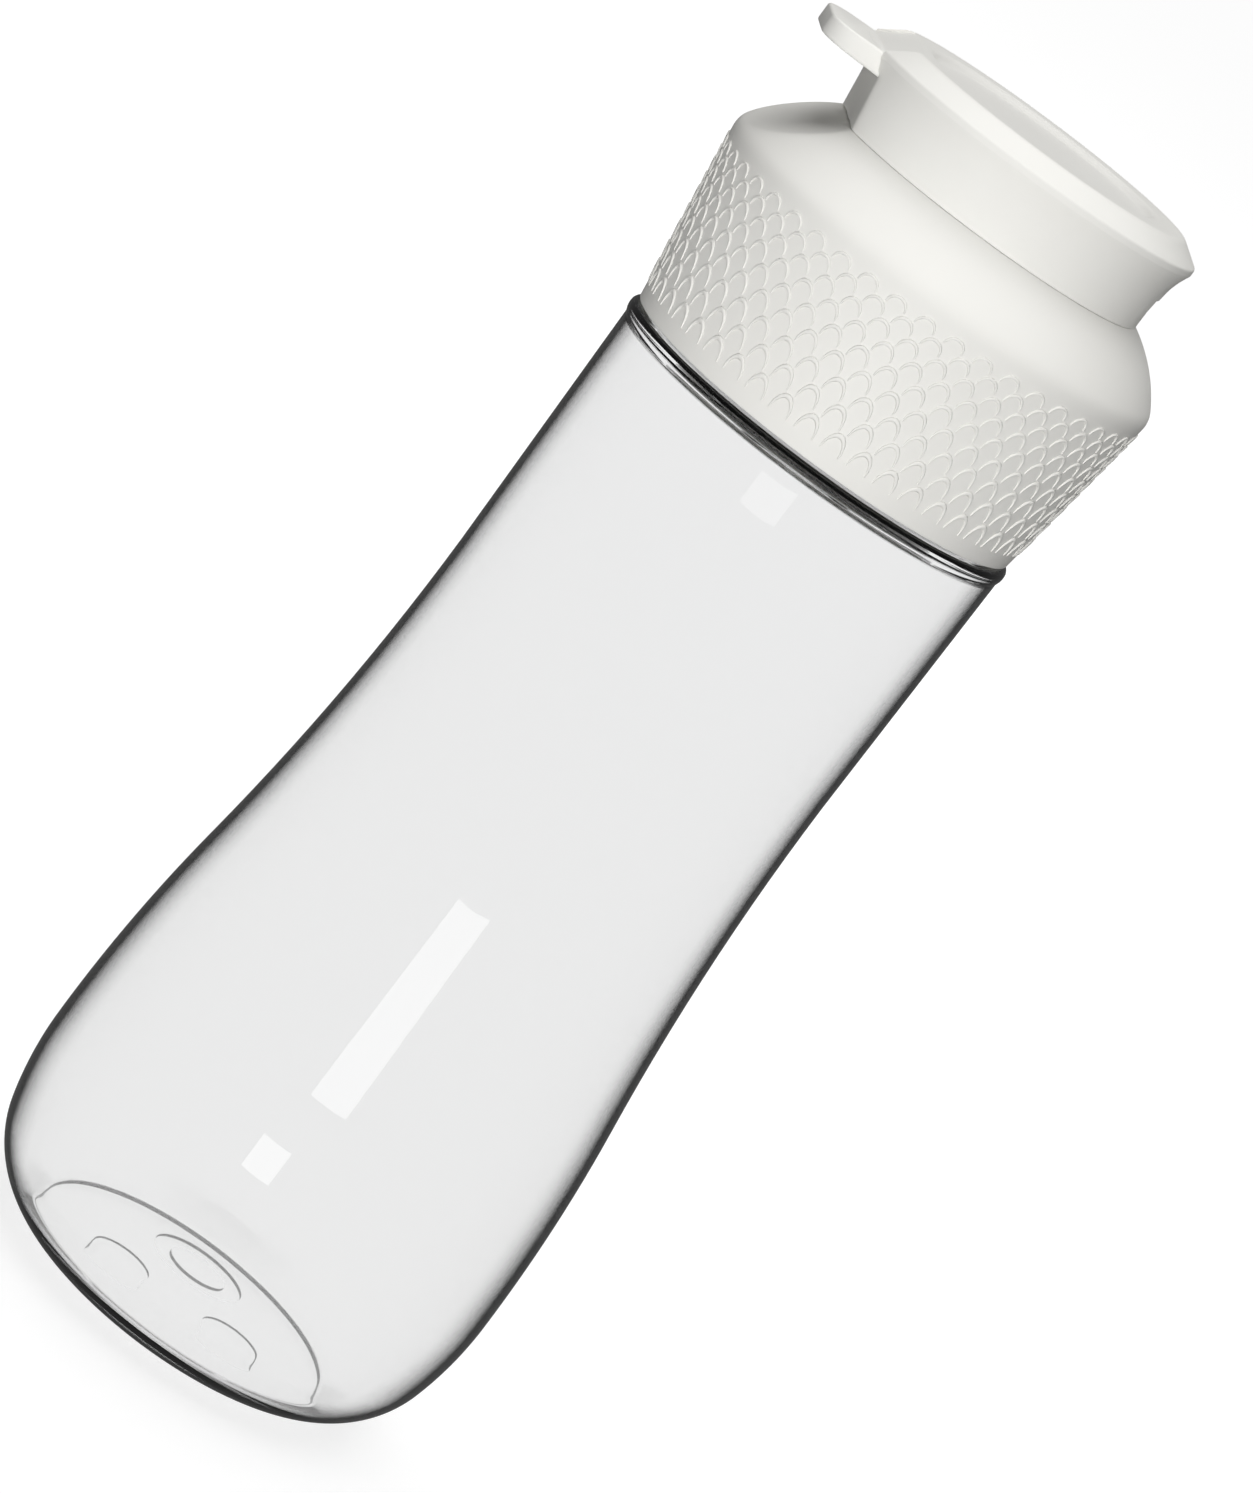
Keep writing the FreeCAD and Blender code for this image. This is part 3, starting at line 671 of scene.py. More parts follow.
def scale_tree():
    """Rows of raised arches on a widening collar, each row half a step round from the next."""
    tree, given, calc = new_tree(
        "collar_scales", columns=COUNT, rows=COUNT, foot_radius=FLOAT, foot_height=FLOAT,
        slope=FLOAT, top_height=FLOAT, first_row=FLOAT, row_growth=FLOAT, arch_share=FLOAT,
        arch_width=FLOAT, ridge=FLOAT, turn=FLOAT)
    place_number = calc("ADD", put(tree, "GeometryNodeInputIndex").outputs[0], 0.5)
    row = calc("FLOOR", calc("DIVIDE", place_number, given["columns"]))
    odd = calc("MODULO", row, 2.0)
    column = calc("ADD", place_number, calc("MULTIPLY", odd, 0.5))
    turns = calc("DIVIDE", column, given["columns"])
    angle = calc("MULTIPLY_ADD", turns, 2 * math.pi, given["turn"])
    row_height = calc("MULTIPLY_ADD", given["row_growth"], row, given["first_row"])
    arch = calc("MULTIPLY", row_height, given["arch_share"])
    pairs = calc("MULTIPLY", calc("MULTIPLY", row, calc("SUBTRACT", row, 1.0)), 0.5)
    rows_above = calc("MULTIPLY", given["first_row"], row)
    above = calc("MULTIPLY_ADD", given["row_growth"], pairs, rows_above)
    height = calc("SUBTRACT", calc("SUBTRACT", given["top_height"], above), arch)
    rise = calc("SUBTRACT", height, given["foot_height"])
    radius = calc("MULTIPLY_ADD", rise, given["slope"], given["foot_radius"])
    cosine = calc("COSINE", angle)
    sine = calc("SINE", angle)
    spot = vector(tree, calc("MULTIPLY", radius, cosine), calc("MULTIPLY", radius, sine), height)
    outward = vector(tree, cosine, sine, calc("MULTIPLY", given["slope"], -1.0))
    along = vector(tree, calc("MULTIPLY", sine, -1.0), cosine)
    facing = put(tree, "FunctionNodeAxesToRotation", {0: outward, 1: along})
    points = put(tree, "GeometryNodePoints", {
        "Count": calc("MULTIPLY", given["columns"], given["rows"]), "Position": spot})
    bow = put(tree, "GeometryNodeCurveArc", {
        "Resolution": ARCH_POINTS, "Radius": 1.0, "Sweep Angle": math.pi})
    size = vector(tree, calc("MULTIPLY", given["arch_width"], 0.5), given["first_row"], 1.0)
    bent = put(tree, "GeometryNodeTransform", {"Geometry": bow.outputs[0], "Scale": size})
    way = put(tree, "GeometryNodeSplineParameter").outputs["Factor"]
    swell = calc("SINE", calc("MULTIPLY", way, math.pi))
    taper = calc("MULTIPLY_ADD", swell, 1 - RIDGE_END, RIDGE_END)
    section = put(tree, "GeometryNodeCurvePrimitiveCircle", {
        "Resolution": RIDGE_SIDES, "Radius": given["ridge"]})
    ridge = put(tree, "GeometryNodeCurveToMesh", {
        "Curve": bent.outputs[0], "Profile Curve": section.outputs[0], "Scale": taper,
        "Fill Caps": True})
    laid = put(tree, "GeometryNodeInstanceOnPoints", {
        "Points": points.outputs[0], "Instance": ridge.outputs[0], "Rotation": facing.outputs[0],
        "Scale": vector(tree, 1.0, calc("DIVIDE", arch, given["first_row"]), 1.0)})
    return close_tree(tree, laid.outputs[0], given["material"])


# Materials

MOULDED = "moulded_surface"
OUTSIDE = "outside"
# Face attribute that marks where dark lines of shade are painted on the clear wall
PAINTED_SHADE_LINES = "painted_shade_lines"
# Where the painted dark rim starts and where it is full, in Layer Weight's facing
RIM_SHADE_START = 0.52
RIM_SHADE_END = 0.78
PLASTIC_IOR = 1.49
SEAL_IOR = 1.41


def moulded_tree():
    """Shared unevenness of a moulded surface: a fine grain and broad soft patches."""
    tree = bpy.data.node_groups.new(MOULDED, "ShaderNodeTree")
    for title in ("Grain Scale", "Patch Scale"):
        tree.interface.new_socket(title, in_out="INPUT", socket_type=FLOAT)
    for title in ("Grain", "Patches"):
        tree.interface.new_socket(title, in_out="OUTPUT", socket_type=FLOAT)
    given = tree.nodes.new("NodeGroupInput").outputs
    spot = put(tree, "ShaderNodeTexCoord").outputs["Object"]
    grain = put(tree, "ShaderNodeTexNoise", {
        "Vector": spot, "Scale": given["Grain Scale"], "Detail": 3.0})
    patches = put(tree, "ShaderNodeTexNoise", {
        "Vector": spot, "Scale": given["Patch Scale"], "Detail": 2.0})
    put(tree, "NodeGroupOutput", {
        "Grain": grain.outputs["Fac"], "Patches": patches.outputs["Fac"]})
    return tree


def spread(tree, value, low, high):
    """Map a value from nought to one onto a range."""
    return put(tree, "ShaderNodeMapRange", {
        "Value": value, "To Min": low, "To Max": high}).outputs[0]


def ease(tree, value, start, finish, low=0.0, high=1.0):
    """Map a value onto a range with a smooth change between start and finish."""
    return put(tree, "ShaderNodeMapRange", {
        "Value": value, "From Min": start, "From Max": finish, "To Min": low, "To Max": high},
        interpolation_type="SMOOTHSTEP").outputs[0]


def bare_tree(owner):
    """Give a material or a world an empty node tree."""
    owner.use_nodes = True
    owner.node_tree.nodes.clear()
    return owner.node_tree


def new_material(name, grain, patches, roughness, shading):
    """Start a material: its tree, its shader and the moulded surface's outputs.

    Grain and patches are the scales of the moulded surface, roughness is a range.
    """
    material = bpy.data.materials.new(name)
    tree = bare_tree(material)
    surface = put(tree, "ShaderNodeGroup", {"Grain Scale": grain, "Patch Scale": patches},
                  node_tree=bpy.data.node_groups.get(MOULDED) or moulded_tree()).outputs
    shader = put(tree, "ShaderNodeBsdfPrincipled", {
        "Roughness": spread(tree, surface["Grain"], *roughness), **shading})
    put(tree, "ShaderNodeOutputMaterial", {"Surface": shader.outputs[0]})
    return material, tree, shader, surface


def tint(tree, shader, mask, first, second):
    """Mix two colours by a mask and feed them into the shader."""
    node = put(tree, "ShaderNodeMix", {0: mask, 6: (*first, 1.0), 7: (*second, 1.0)},
               data_type="RGBA")
    tree.links.new(node.outputs[2], shader.inputs["Base Color"])


def relief(tree, shader, height, strength, distance):
    """Feed a height into the shader's normal."""
    bump = put(tree, "ShaderNodeBump", {
        "Height": height, "Strength": strength, "Distance": distance})
    tree.links.new(bump.outputs[0], shader.inputs["Normal"])


def once(make):
    """Make a material on the first call and give the same one after that."""
    made = {}

    def get(finish):
        if not made:
            made["material"] = make(finish)
        return made["material"]
    return get


@once
def clear_plastic(finish):
    """Polished clear wall, darker at small steps and where it is seen along its face: painted
    shade, as dark lines on small steps and on the bead's top and a dark rim along the outline.
    """
    material, tree, shader, surface = new_material(
        "clear_plastic", grain=220.0, patches=45.0, roughness=(0.0, 0.04),
        shading={"Transmission Weight": 1.0, "IOR": PLASTIC_IOR})
    calc = partial(calculate, tree)
    # Painted shade: the outside of the wall turns dark where it is seen along its face
    along = put(tree, "ShaderNodeLayerWeight", {"Blend": 0.5}).outputs["Facing"]
    rim = ease(tree, along, RIM_SHADE_START, RIM_SHADE_END)
    outside = put(tree, "ShaderNodeAttribute", attribute_name=OUTSIDE).outputs["Fac"]
    painted_shade_lines = put(tree, "ShaderNodeAttribute", attribute_name=PAINTED_SHADE_LINES).outputs["Fac"]
    behind = put(tree, "ShaderNodeNewGeometry").outputs["Backfacing"]
    # Painted shade: dark lines on the marked faces, on their front sides only
    line_shade = calc("MULTIPLY", painted_shade_lines, calc("SUBTRACT", 1.0, behind))
    dark = calc("MAXIMUM", calc("MULTIPLY", rim, outside), line_shade)
    tint(tree, shader, dark, finish.clear, finish.clear_rim_shade)
    relief(tree, shader, surface["Patches"], strength=0.08, distance=0.4 * MM)
    return material


@once
def cap_plastic(finish):
    """Warm off-white moulded plastic with a fine satin grain."""
    material, tree, shader, surface = new_material(
        "cap_plastic", grain=2600.0, patches=70.0, roughness=(0.38, 0.56),
        shading={"IOR": PLASTIC_IOR})
    tint(tree, shader, surface["Patches"], finish.cap, finish.cap_shade)
    relief(tree, shader, surface["Grain"], strength=0.12, distance=0.05 * MM)
    return material


@once
def soft_seal(finish):
    """Milky silicone with a dull, faintly powdered surface."""
    material, tree, shader, surface = new_material(
        "soft_seal", grain=3200.0, patches=160.0, roughness=(0.5, 0.75),
        shading={"IOR": SEAL_IOR, "Subsurface Weight": 0.2, "Subsurface Radius": (1.0, 1.0, 0.9),
                 "Subsurface Scale": 0.8 * MM})
    tint(tree, shader, surface["Patches"], finish.seal, finish.seal_shade)
    relief(tree, shader, surface["Grain"], strength=0.1, distance=0.04 * MM)
    return material


@once
def pin_steel(finish):
    """Ground steel with streaks round the pin."""
    material, tree, shader, _ = new_material(
        "pin_steel", grain=1800.0, patches=300.0, roughness=(0.22, 0.4),
        shading={"Metallic": 1.0})
    spot = put(tree, "ShaderNodeTexCoord").outputs["Object"]
    squeezed = put(tree, "ShaderNodeMapping", {"Vector": spot, "Scale": (1.0, 12.0, 1.0)})
    streaks = put(tree, "ShaderNodeTexNoise", {
        "Vector": squeezed.outputs[0], "Scale": 900.0, "Detail": 4.0}).outputs["Fac"]
    tint(tree, shader, streaks, finish.steel, finish.steel_shade)
    relief(tree, shader, streaks, strength=0.15, distance=0.02 * MM)
    return material


# Pieces

BOTTLE_SEGMENTS = 224
REAR_MARK = math.radians(80.0)
MARKS = 3
OUTWARD = 0.3
UPRIGHT = 0.5


def shoulder_height(sizes):
    """Height of the bottle's shoulder, on top of the bead."""
    return sizes.throat_height + sizes.bead_height


def skirt_bore(settings):
    """Inner radius of the cap's threaded skirt."""
    return settings.bottle.neck_radius + settings.thread.depth + settings.thread.gap


def rim_height(cap):
    """Height of the rim between the collar and the dome."""
    return cap.foot_height + cap.rim_height


def seat_height(cap):
    """Height of the cap's seat under the lid."""
    return rim_height(cap) + cap.dome_height


def thread_ridge(name, settings, radius, drop, depth, material):
    """Ridge of the thread on a wall, some way below the neck's."""
    thread = settings.thread
    return grow(
        name, bpy.data.node_groups.get(THREAD) or thread_tree(), radius=radius,
        foot=shoulder_height(settings.bottle) + thread.start - drop, pitch=thread.pitch,
        turns=thread.turns, depth=depth, root=thread.root, crest=thread.crest, sink=thread.sink,
        material=material)


def bottle_outline(sizes):
    """Outer and inner outline of the bottle, from the base's middle to the floor's middle."""
    heel_rise = sizes.heel_bend - sizes.heel_cut
    low = Vector((sizes.belly_radius - sizes.low_bend, sizes.belly_height))
    shoulder = shoulder_height(sizes)
    grip_radius = sizes.belly_radius - sizes.waist_depth

    def heel(bend, rise, around):
        """Centre of a heel's arc, and its common point with an arc about the low centre."""
        drop = low.y - rise
        centre = Vector((low.x + math.sqrt((around - bend) ** 2 - drop ** 2), rise))
        return centre, low + (centre - low) * (around / (around - bend))

    def waist(inset):
        """Point where the arcs of belly and waist meet, an inset inside the outer wall."""
        run = Vector((sizes.waist_depth, sizes.grip_height - sizes.belly_height))
        both = run.length_squared / (2 * sizes.waist_depth)
        middle = Vector((sizes.belly_radius - sizes.high_bend, sizes.belly_height))
        way = Vector((both - sizes.waist_depth, run.y)) / both
        return middle + way * (sizes.high_bend - inset), both - sizes.high_bend + inset

    heel_centre, heel_end = heel(sizes.heel_bend, heel_rise, sizes.low_bend)
    foot_radius = heel_centre.x + math.sqrt(sizes.heel_bend ** 2 - heel_rise ** 2)
    recess_radius = foot_radius - sizes.foot_ring
    turn, waist_bend = waist(0.0)
    inner_turn, inner_waist_bend = waist(sizes.wall)
    inner_rise = sizes.floor_thickness + sizes.inner_heel_bend
    inner_low_bend = sizes.low_bend - sizes.wall
    inner_centre, inner_end = heel(sizes.inner_heel_bend, inner_rise, inner_low_bend)
    bore = sizes.neck_radius - sizes.neck_wall
    edge = sizes.edge
    fine = 0.2 * edge
    broad = 2 * edge
    return outline([
        (0, sizes.recess),
        (recess_radius, sizes.recess, fine),
        (recess_radius, 0, fine),
        (foot_radius, 0, fine, sizes.heel_bend),
        (*heel_end, 0, sizes.low_bend),
        (sizes.belly_radius, sizes.belly_height, 0, sizes.high_bend),
        (*turn, 0, -waist_bend),
        (grip_radius, sizes.grip_height),
        (sizes.throat_radius, sizes.throat_height, edge / 2, sizes.bead_bend),
        (sizes.throat_radius, shoulder, broad),
        (sizes.neck_radius, shoulder, edge),
        (sizes.neck_radius, sizes.mouth_height, edge),
        (bore, sizes.mouth_height, edge),
        (bore, shoulder - sizes.shoulder, edge),
        (sizes.throat_radius - sizes.wall, sizes.throat_height, broad),
        (grip_radius - sizes.wall, sizes.grip_height, 0, inner_waist_bend),
        (*inner_turn, 0, -(sizes.high_bend - sizes.wall)),
        (sizes.belly_radius - sizes.wall, sizes.belly_height, 0, -inner_low_bend),
        (*inner_end, 0, -sizes.inner_heel_bend),
        (inner_centre.x, sizes.floor_thickness),
        (0, sizes.floor_thickness),
    ])


def cut_marks(bottle, sizes):
    """Cut three moulded marks into the base. The rear one is a groove round a disc."""
    for index in range(MARKS):
        inner, outer, depth = 0.0, sizes.mark_radius, sizes.mark_depth
        if index == 0:
            inner, outer, depth = outer, sizes.wide_mark_radius, sizes.wide_mark_depth
        mark = turned("mark", box_outline(
            inner, outer, sizes.recess - OVERRUN, sizes.recess + depth))
        turn = Matrix.Rotation(REAR_MARK + 2 * math.pi * index / MARKS, 4, "Z")
        mark.data.transform(turn @ Matrix.Translation((sizes.mark_ring, 0, 0)))
        combine(bottle, mark, "DIFFERENCE")


def tell_faces(bottle, sizes):
    """Tell the material which faces lie outside and which are small steps, and so which faces get
    painted dark lines of shade: the upright walls of the steps in the base and a band on top of the
    bead.
    """
    step_top = sizes.recess + sizes.wide_mark_depth
    shoulder = shoulder_height(sizes)
    bead_shade_foot = shoulder - sizes.bead_shade_band
    told = {OUTSIDE: [], PAINTED_SHADE_LINES: []}
    for face in bottle.data.polygons:
        spot = face.center
        outer = face.normal.xy.dot(spot.xy) > OUTWARD * spot.xy.length
        step = abs(face.normal.z) < UPRIGHT and spot.z < step_top
        bead_shade = outer and bead_shade_foot < spot.z < shoulder
        told[OUTSIDE].append(float(outer))
        told[PAINTED_SHADE_LINES].append(float(step or bead_shade))
    for name, values in told.items():
        attribute = bottle.data.attributes.new(name, "FLOAT", "FACE")
        attribute.data.foreach_set("value", values)


def add_bottle(settings):
    """Clear bottle with three moulded marks in its base, and the thread on its neck."""
    sizes = settings.bottle
    material = clear_plastic(settings.finish)
    bottle = turned("clear_bottle", bottle_outline(sizes), even_turn(BOTTLE_SEGMENTS))
    cut_marks(bottle, sizes)
    crease(bottle)
    tell_faces(bottle, sizes)
    settle(bottle, material, "bottle", "clear_plastic", "bottle")
    ridge = thread_ridge(
        "neck_thread", settings, sizes.neck_radius, 0.0, settings.thread.depth, material)
    settle(ridge, material, "bottle", "clear_plastic")


def add_gasket(settings):
    """Flat soft ring on the bottle's mouth."""
    sizes, cap = settings.bottle, settings.cap
    ring = turned("mouth_gasket", ring_outline(
        sizes.neck_radius - sizes.neck_wall + cap.gasket_inset,
        skirt_bore(settings) - cap.gasket_gap,
        sizes.mouth_height, sizes.mouth_height + cap.gasket_thickness, cap.edge))
    settle(ring, soft_seal(settings.finish), "gasket", "soft_seal", "neck_gasket")


CAP_FINE_STEP = math.radians(0.45)
CAP_FINE_REACH = math.radians(40)
BLOCK_STEPS = 16


def cap_outline(settings):
    """Outline of the cap, from the collar's foot over the dome and the nozzle to the skirt."""
    cap, sizes = settings.cap, settings.bottle
    edge = cap.edge
    fine = 0.3 * edge
    rim = rim_height(cap)
    seat = seat_height(cap)
    gasket_top = sizes.mouth_height + cap.gasket_thickness
    deck_foot = gasket_top + cap.chamber_height
    deck_top = deck_foot + cap.deck_thickness
    spigot_top = seat + cap.spigot_height
    spigot_bore = cap.spigot_radius - cap.spigot_wall
    shelf = cap.nozzle_top - cap.nozzle_lip
    skirt_inside = skirt_bore(settings)
    skirt_outside = skirt_inside + cap.skirt_wall
    skirt_foot = cap.foot_height + cap.skirt_lift
    core_top = rim + cap.core_rise
    collar_bore = cap.foot_radius - cap.collar_wall
    return outline([
        (cap.foot_radius - cap.collar_inset, cap.foot_height, fine),
        (cap.rim_radius, rim, cap.rim_edge, cap.dome_bend),
        (cap.seat_radius, seat, fine),
        (cap.spigot_radius, seat, edge),
        (cap.spigot_radius, spigot_top, edge),
        (spigot_bore, spigot_top, edge),
        (spigot_bore, deck_top, edge),
        (cap.nozzle_radius, deck_top, 2 * edge),
        (cap.nozzle_top_radius, cap.nozzle_top, edge),
        (cap.nozzle_mouth, cap.nozzle_top, edge),
        (cap.nozzle_mouth, shelf, edge / 2),
        (cap.nozzle_bore, shelf, edge / 2),
        (cap.nozzle_bore, deck_foot, edge),
        (cap.chamber_radius, deck_foot, edge),
        (cap.chamber_radius, gasket_top, edge),
        (skirt_inside, gasket_top, edge),
        (skirt_inside, skirt_foot, edge),
        (skirt_outside, skirt_foot, edge),
        (skirt_outside, core_top, edge),
        (collar_bore, core_top, edge),
        (collar_bore, cap.foot_height, edge),
    ])


def hinge_block(name, lid, low, high, width):
    """Block with a round end about the hinge: an ear from below or a knuckle from above."""
    up = 1 if high > HINGE.z else -1
    root = low if up > 0 else high
    radius = lid.knuckle_radius
    spots = [Vector((HINGE.x - up * radius, root)), Vector((HINGE.x + up * radius, root))]
    for step in range(BLOCK_STEPS + 1):
        angle = math.pi * step / BLOCK_STEPS
        spots.append(Vector((HINGE.x + up * radius * math.cos(angle),
                             HINGE.z + up * radius * math.sin(angle))))
    return prism(name, spots, width)


def add_cap(settings):
    """Screw cap with its ears, the scales on its collar and the thread in its skirt."""
    cap, lid, scales = settings.cap, settings.lid, settings.scales
    material = cap_plastic(settings.finish)
    rim = rim_height(cap)
    seat = seat_height(cap)
    flat_top = Vector((cap.flat_depth - cap.seat_radius, 0, seat))
    flat_foot = Vector((-cap.flat_reach, 0, rim + cap.flat_lift))
    facing = side_facing(flat_foot, flat_top)

    def flatten(point):
        """Press the dome flat under the lid's tab."""
        if point.x > 0 or point.z > seat + TINY:
            return point
        return press(point, facing, facing.dot(flat_top), cap.flat_edge)

    shell = turned(
        "cap_shell", cap_outline(settings), graded_turn(CAP_FINE_STEP, CAP_FINE_REACH), flatten)
    slot_width = lid.knuckle_width + 2 * lid.side_gap
    for side in (-1, 1):
        ear = hinge_block(
            "ear", lid, seat - cap.edge, HINGE.z + lid.knuckle_radius, lid.ear_width)
        ear.data.transform(Matrix.Translation((0, side * (slot_width + lid.ear_width) / 2, 0)))
        back = turned("ear_back", box_outline(
            cap.seat_radius, cap.seat_radius + OVERRUN, seat - OVERRUN, HINGE.z + OVERRUN))
        combine(ear, back, "DIFFERENCE")
        combine(shell, ear, "UNION")
    crease(shell)
    settle(shell, material, "cap", "cap_plastic", "screw_cap")
    foot_radius = cap.foot_radius - cap.collar_inset
    arches = grow(
        "collar_scales", scale_tree(), columns=scales.columns, rows=scales.rows,
        foot_radius=foot_radius, foot_height=cap.foot_height,
        slope=(cap.rim_radius - foot_radius) / cap.rim_height, top_height=rim - scales.top_inset,
        first_row=scales.first_row, row_growth=scales.row_growth, arch_share=scales.arch_share,
        arch_width=scales.arch_width, ridge=scales.ridge, turn=scales.turn, material=material)
    settle(arches, material, "cap", "cap_plastic")
    thread = settings.thread
    ridge = thread_ridge(
        "skirt_thread", settings, skirt_bore(settings), thread.drop, -thread.depth, material)
    settle(ridge, material, "cap", "cap_plastic")


DISH_SPREAD = 0.55
DISH_RISE = 0.3


def add_valve(settings):
    """Slit valve in the nozzle and the ring that holds it there."""
    cap, valve = settings.cap, settings.valve
    edge = valve.edge
    shelf = cap.nozzle_top - cap.nozzle_lip
    flange_foot = shelf - valve.flange
    flange_radius = cap.nozzle_bore - valve.fit
    neck = cap.nozzle_mouth - valve.gap
    top = cap.nozzle_top - valve.gap
    web_top = top - valve.dish
    web_foot = web_top - valve.web
    cup = turned("nozzle_valve", outline([
        (0, web_top),
        (0, web_foot),
        (neck - valve.skirt, web_foot, edge),
        (neck - valve.skirt, flange_foot, edge),
        (flange_radius, flange_foot, edge),
        (flange_radius, shelf, edge),
        (neck, shelf, edge),
        (neck, top, edge),
        (DISH_SPREAD * neck, web_top + DISH_RISE * valve.dish, edge),
    ]))
    half = valve.slit_length / 2
    for turn in (0.0, math.pi / 2):
        slit = prism("slit", box_outline(-half, half, flange_foot, top + OVERRUN), valve.slit_width)
        slit.data.transform(Matrix.Rotation(turn, 4, "Z"))
        combine(cup, slit, "DIFFERENCE")
    crease(cup)
    settle(cup, soft_seal(settings.finish), "cap", "soft_seal", "slit_valve")
    ring = turned("nozzle_ring", ring_outline(
        valve.ring_bore, cap.nozzle_bore - valve.ring_fit, flange_foot - valve.ring_height,
        flange_foot, edge))
    settle(ring, cap_plastic(settings.finish), "cap", "cap_plastic", "valve_ring")


RAMP_SINK = 0.02 * MM
TAB_STEPS = 10
LID_FINE_STEP = math.radians(0.4)
LID_FINE_REACH = math.radians(30)


def lid_ceiling(lid):
    """Height of the lid's ceiling."""
    return lid.top_height - lid.dish_depth - lid.plate


def lid_outline(lid, cap):
    """Outline of the lid, from its foot over the lip and the dished top to the boss inside."""
    edge = lid.edge
    broad = 2 * edge
    foot = seat_height(cap) + lid.seat_gap
    lip = lid.foot_height + lid.lip_rise
    dish = lid.top_height - lid.dish_depth
    ceiling = lid_ceiling(lid)
    boss_foot = cap.nozzle_top + lid.seal_flange
    boss_radius = lid.boss_bore + lid.boss_wall
    return outline([
        (lid.bore, foot, edge),
        (lid.foot_radius, foot, 0.3 * edge),
        (lid.flare_radius, lid.foot_height + lid.flare_rise, 2 * broad, -lid.flare_bend),
        (lid.lip_radius, lip, lid.lip_edge / 2),
        (lid.lip_radius, lip + lid.lip_band, lid.lip_edge),
        (lid.top_radius, lid.top_height, broad),
        (lid.dish_rim, lid.top_height, broad),
        (lid.dish_radius, dish, broad),
        (0, dish),
        (0, ceiling),
        (lid.boss_bore, ceiling, edge),
        (lid.boss_bore, boss_foot, edge),
        (boss_radius, boss_foot, edge),
        (boss_radius, ceiling, edge),
        (lid.bore, ceiling, broad),
    ])


def lid_tab(lid):
    """Thumb tab with rounded corners and the ramp that joins it to the lid's top."""
    half = lid.tab_width / 2
    root_top = lid.foot_height + lid.tab_rise
    root_foot = root_top - lid.tab_thick
    tip_foot = root_top - lid.tab_droop - lid.tab_thin
    plan = [Vector((-lid.ramp_reach, -half)), Vector((-lid.tab_root, -half))]
    for side, start in ((-1, 3 * math.pi / 2), (1, math.pi)):
        middle = Vector((lid.tab_corner - lid.tab_reach, side * (half - lid.tab_corner)))
        for step in range(TAB_STEPS + 1):
            angle = start - math.pi / 2 * step / TAB_STEPS
            plan.append(middle + Vector((math.cos(angle), math.sin(angle))) * lid.tab_corner)
    plan += [Vector((-lid.tab_root, half)), Vector((-lid.ramp_reach, half))]

    def top(spot):
        """Height of the ramp or of the tab's upper face."""
        past = -spot.x - lid.tab_root
        if past < 0:
            part = -past / (lid.tab_root - lid.ramp_reach)
            return root_top + (lid.top_height - root_top) * part - RAMP_SINK
        return root_top - lid.tab_droop * past / (lid.tab_reach - lid.tab_root)

    def foot(spot):
        """Height of the tab's lower face."""
        part = (-spot.x - lid.tab_sink) / (lid.tab_reach - lid.tab_sink)
        return root_foot + (tip_foot - root_foot) * part

    count = len(plan)
    points = [Vector((*spot, height(spot))) for height in (top, foot) for spot in plan]
    ramp = (0, 1, count - 2, count - 1)
    faces = [tuple(range(1, count - 1)), ramp, tuple(range(count, 2 * count))]
    return soften(mesh_from("tab", points, faces + side_faces(count)), lid.tab_edge)


def ramp_cut(lid):
    """What the ramp takes off the lid's bevel, as wide as the tab."""
    root_top = lid.foot_height + lid.tab_rise
    far = lid.lip_radius + OVERRUN
    over = lid.top_height + OVERRUN
    return prism("ramp", [
        Vector((-lid.ramp_reach, lid.top_height)),
        Vector((-lid.tab_root, root_top)),
        Vector((-far, root_top)),
        Vector((-far, over)),
        Vector((-lid.ramp_reach, over)),
    ], lid.tab_width)


def add_lid(settings):
    """Flip lid with its tab, flat and knuckle, and the soft plug in its boss."""
    lid, cap = settings.lid, settings.cap
    tab_foot = lid.foot_height + lid.tab_rise - lid.tab_thick
    flat_low = Vector((-lid.flat_foot, 0, lid.foot_height))
    facing = side_facing(flat_low, Vector((-lid.flat_head, 0, tab_foot)))

    def flatten(point):
        """Press the neck flat under the tab."""
        if point.x > 0 or point.xy.length < lid.bore + TINY:
            return point
        part = fade(point.z, tab_foot, tab_foot + lid.tab_thick / 3)
        return point.lerp(press(point, facing, facing.dot(flat_low), lid.flat_edge), part)

    shell = turned(
        "lid_shell", lid_outline(lid, cap), graded_turn(LID_FINE_STEP, LID_FINE_REACH), flatten)
    combine(shell, ramp_cut(lid), "DIFFERENCE")
    combine(shell, lid_tab(lid), "UNION")
    ears_width = lid.knuckle_width + 2 * lid.side_gap + 2 * lid.ear_width
    window_top = HINGE.z + lid.window_rise
    window = prism("window", box_outline(
        HINGE.x - lid.knuckle_radius - lid.window_room, lid.lip_radius + OVERRUN,
        lid.foot_height - OVERRUN, window_top), ears_width + 2 * lid.side_gap)
    combine(shell, window, "DIFFERENCE")
    knuckle = hinge_block(
        "knuckle", lid, HINGE.z - lid.knuckle_radius, window_top + lid.knuckle_root,
        lid.knuckle_width)
    combine(shell, knuckle, "UNION")
    crease(shell)
    settle(shell, cap_plastic(settings.finish), "lid", "cap_plastic", "flip_lid")
    edge = lid.edge
    ceiling = lid_ceiling(lid)
    boss_foot = cap.nozzle_top + lid.seal_flange
    boss_radius = lid.boss_bore + lid.boss_wall
    stem = lid.boss_bore - lid.seal_fit
    plug = turned("lid_plug", outline([
        (0, cap.nozzle_top),
        (boss_radius, cap.nozzle_top, edge),
        (boss_radius, boss_foot, edge),
        (stem, boss_foot, edge),
        (stem, ceiling, edge),
        (0, ceiling),
    ]))
    settle(plug, soft_seal(settings.finish), "lid", "soft_seal", "lid_seal")


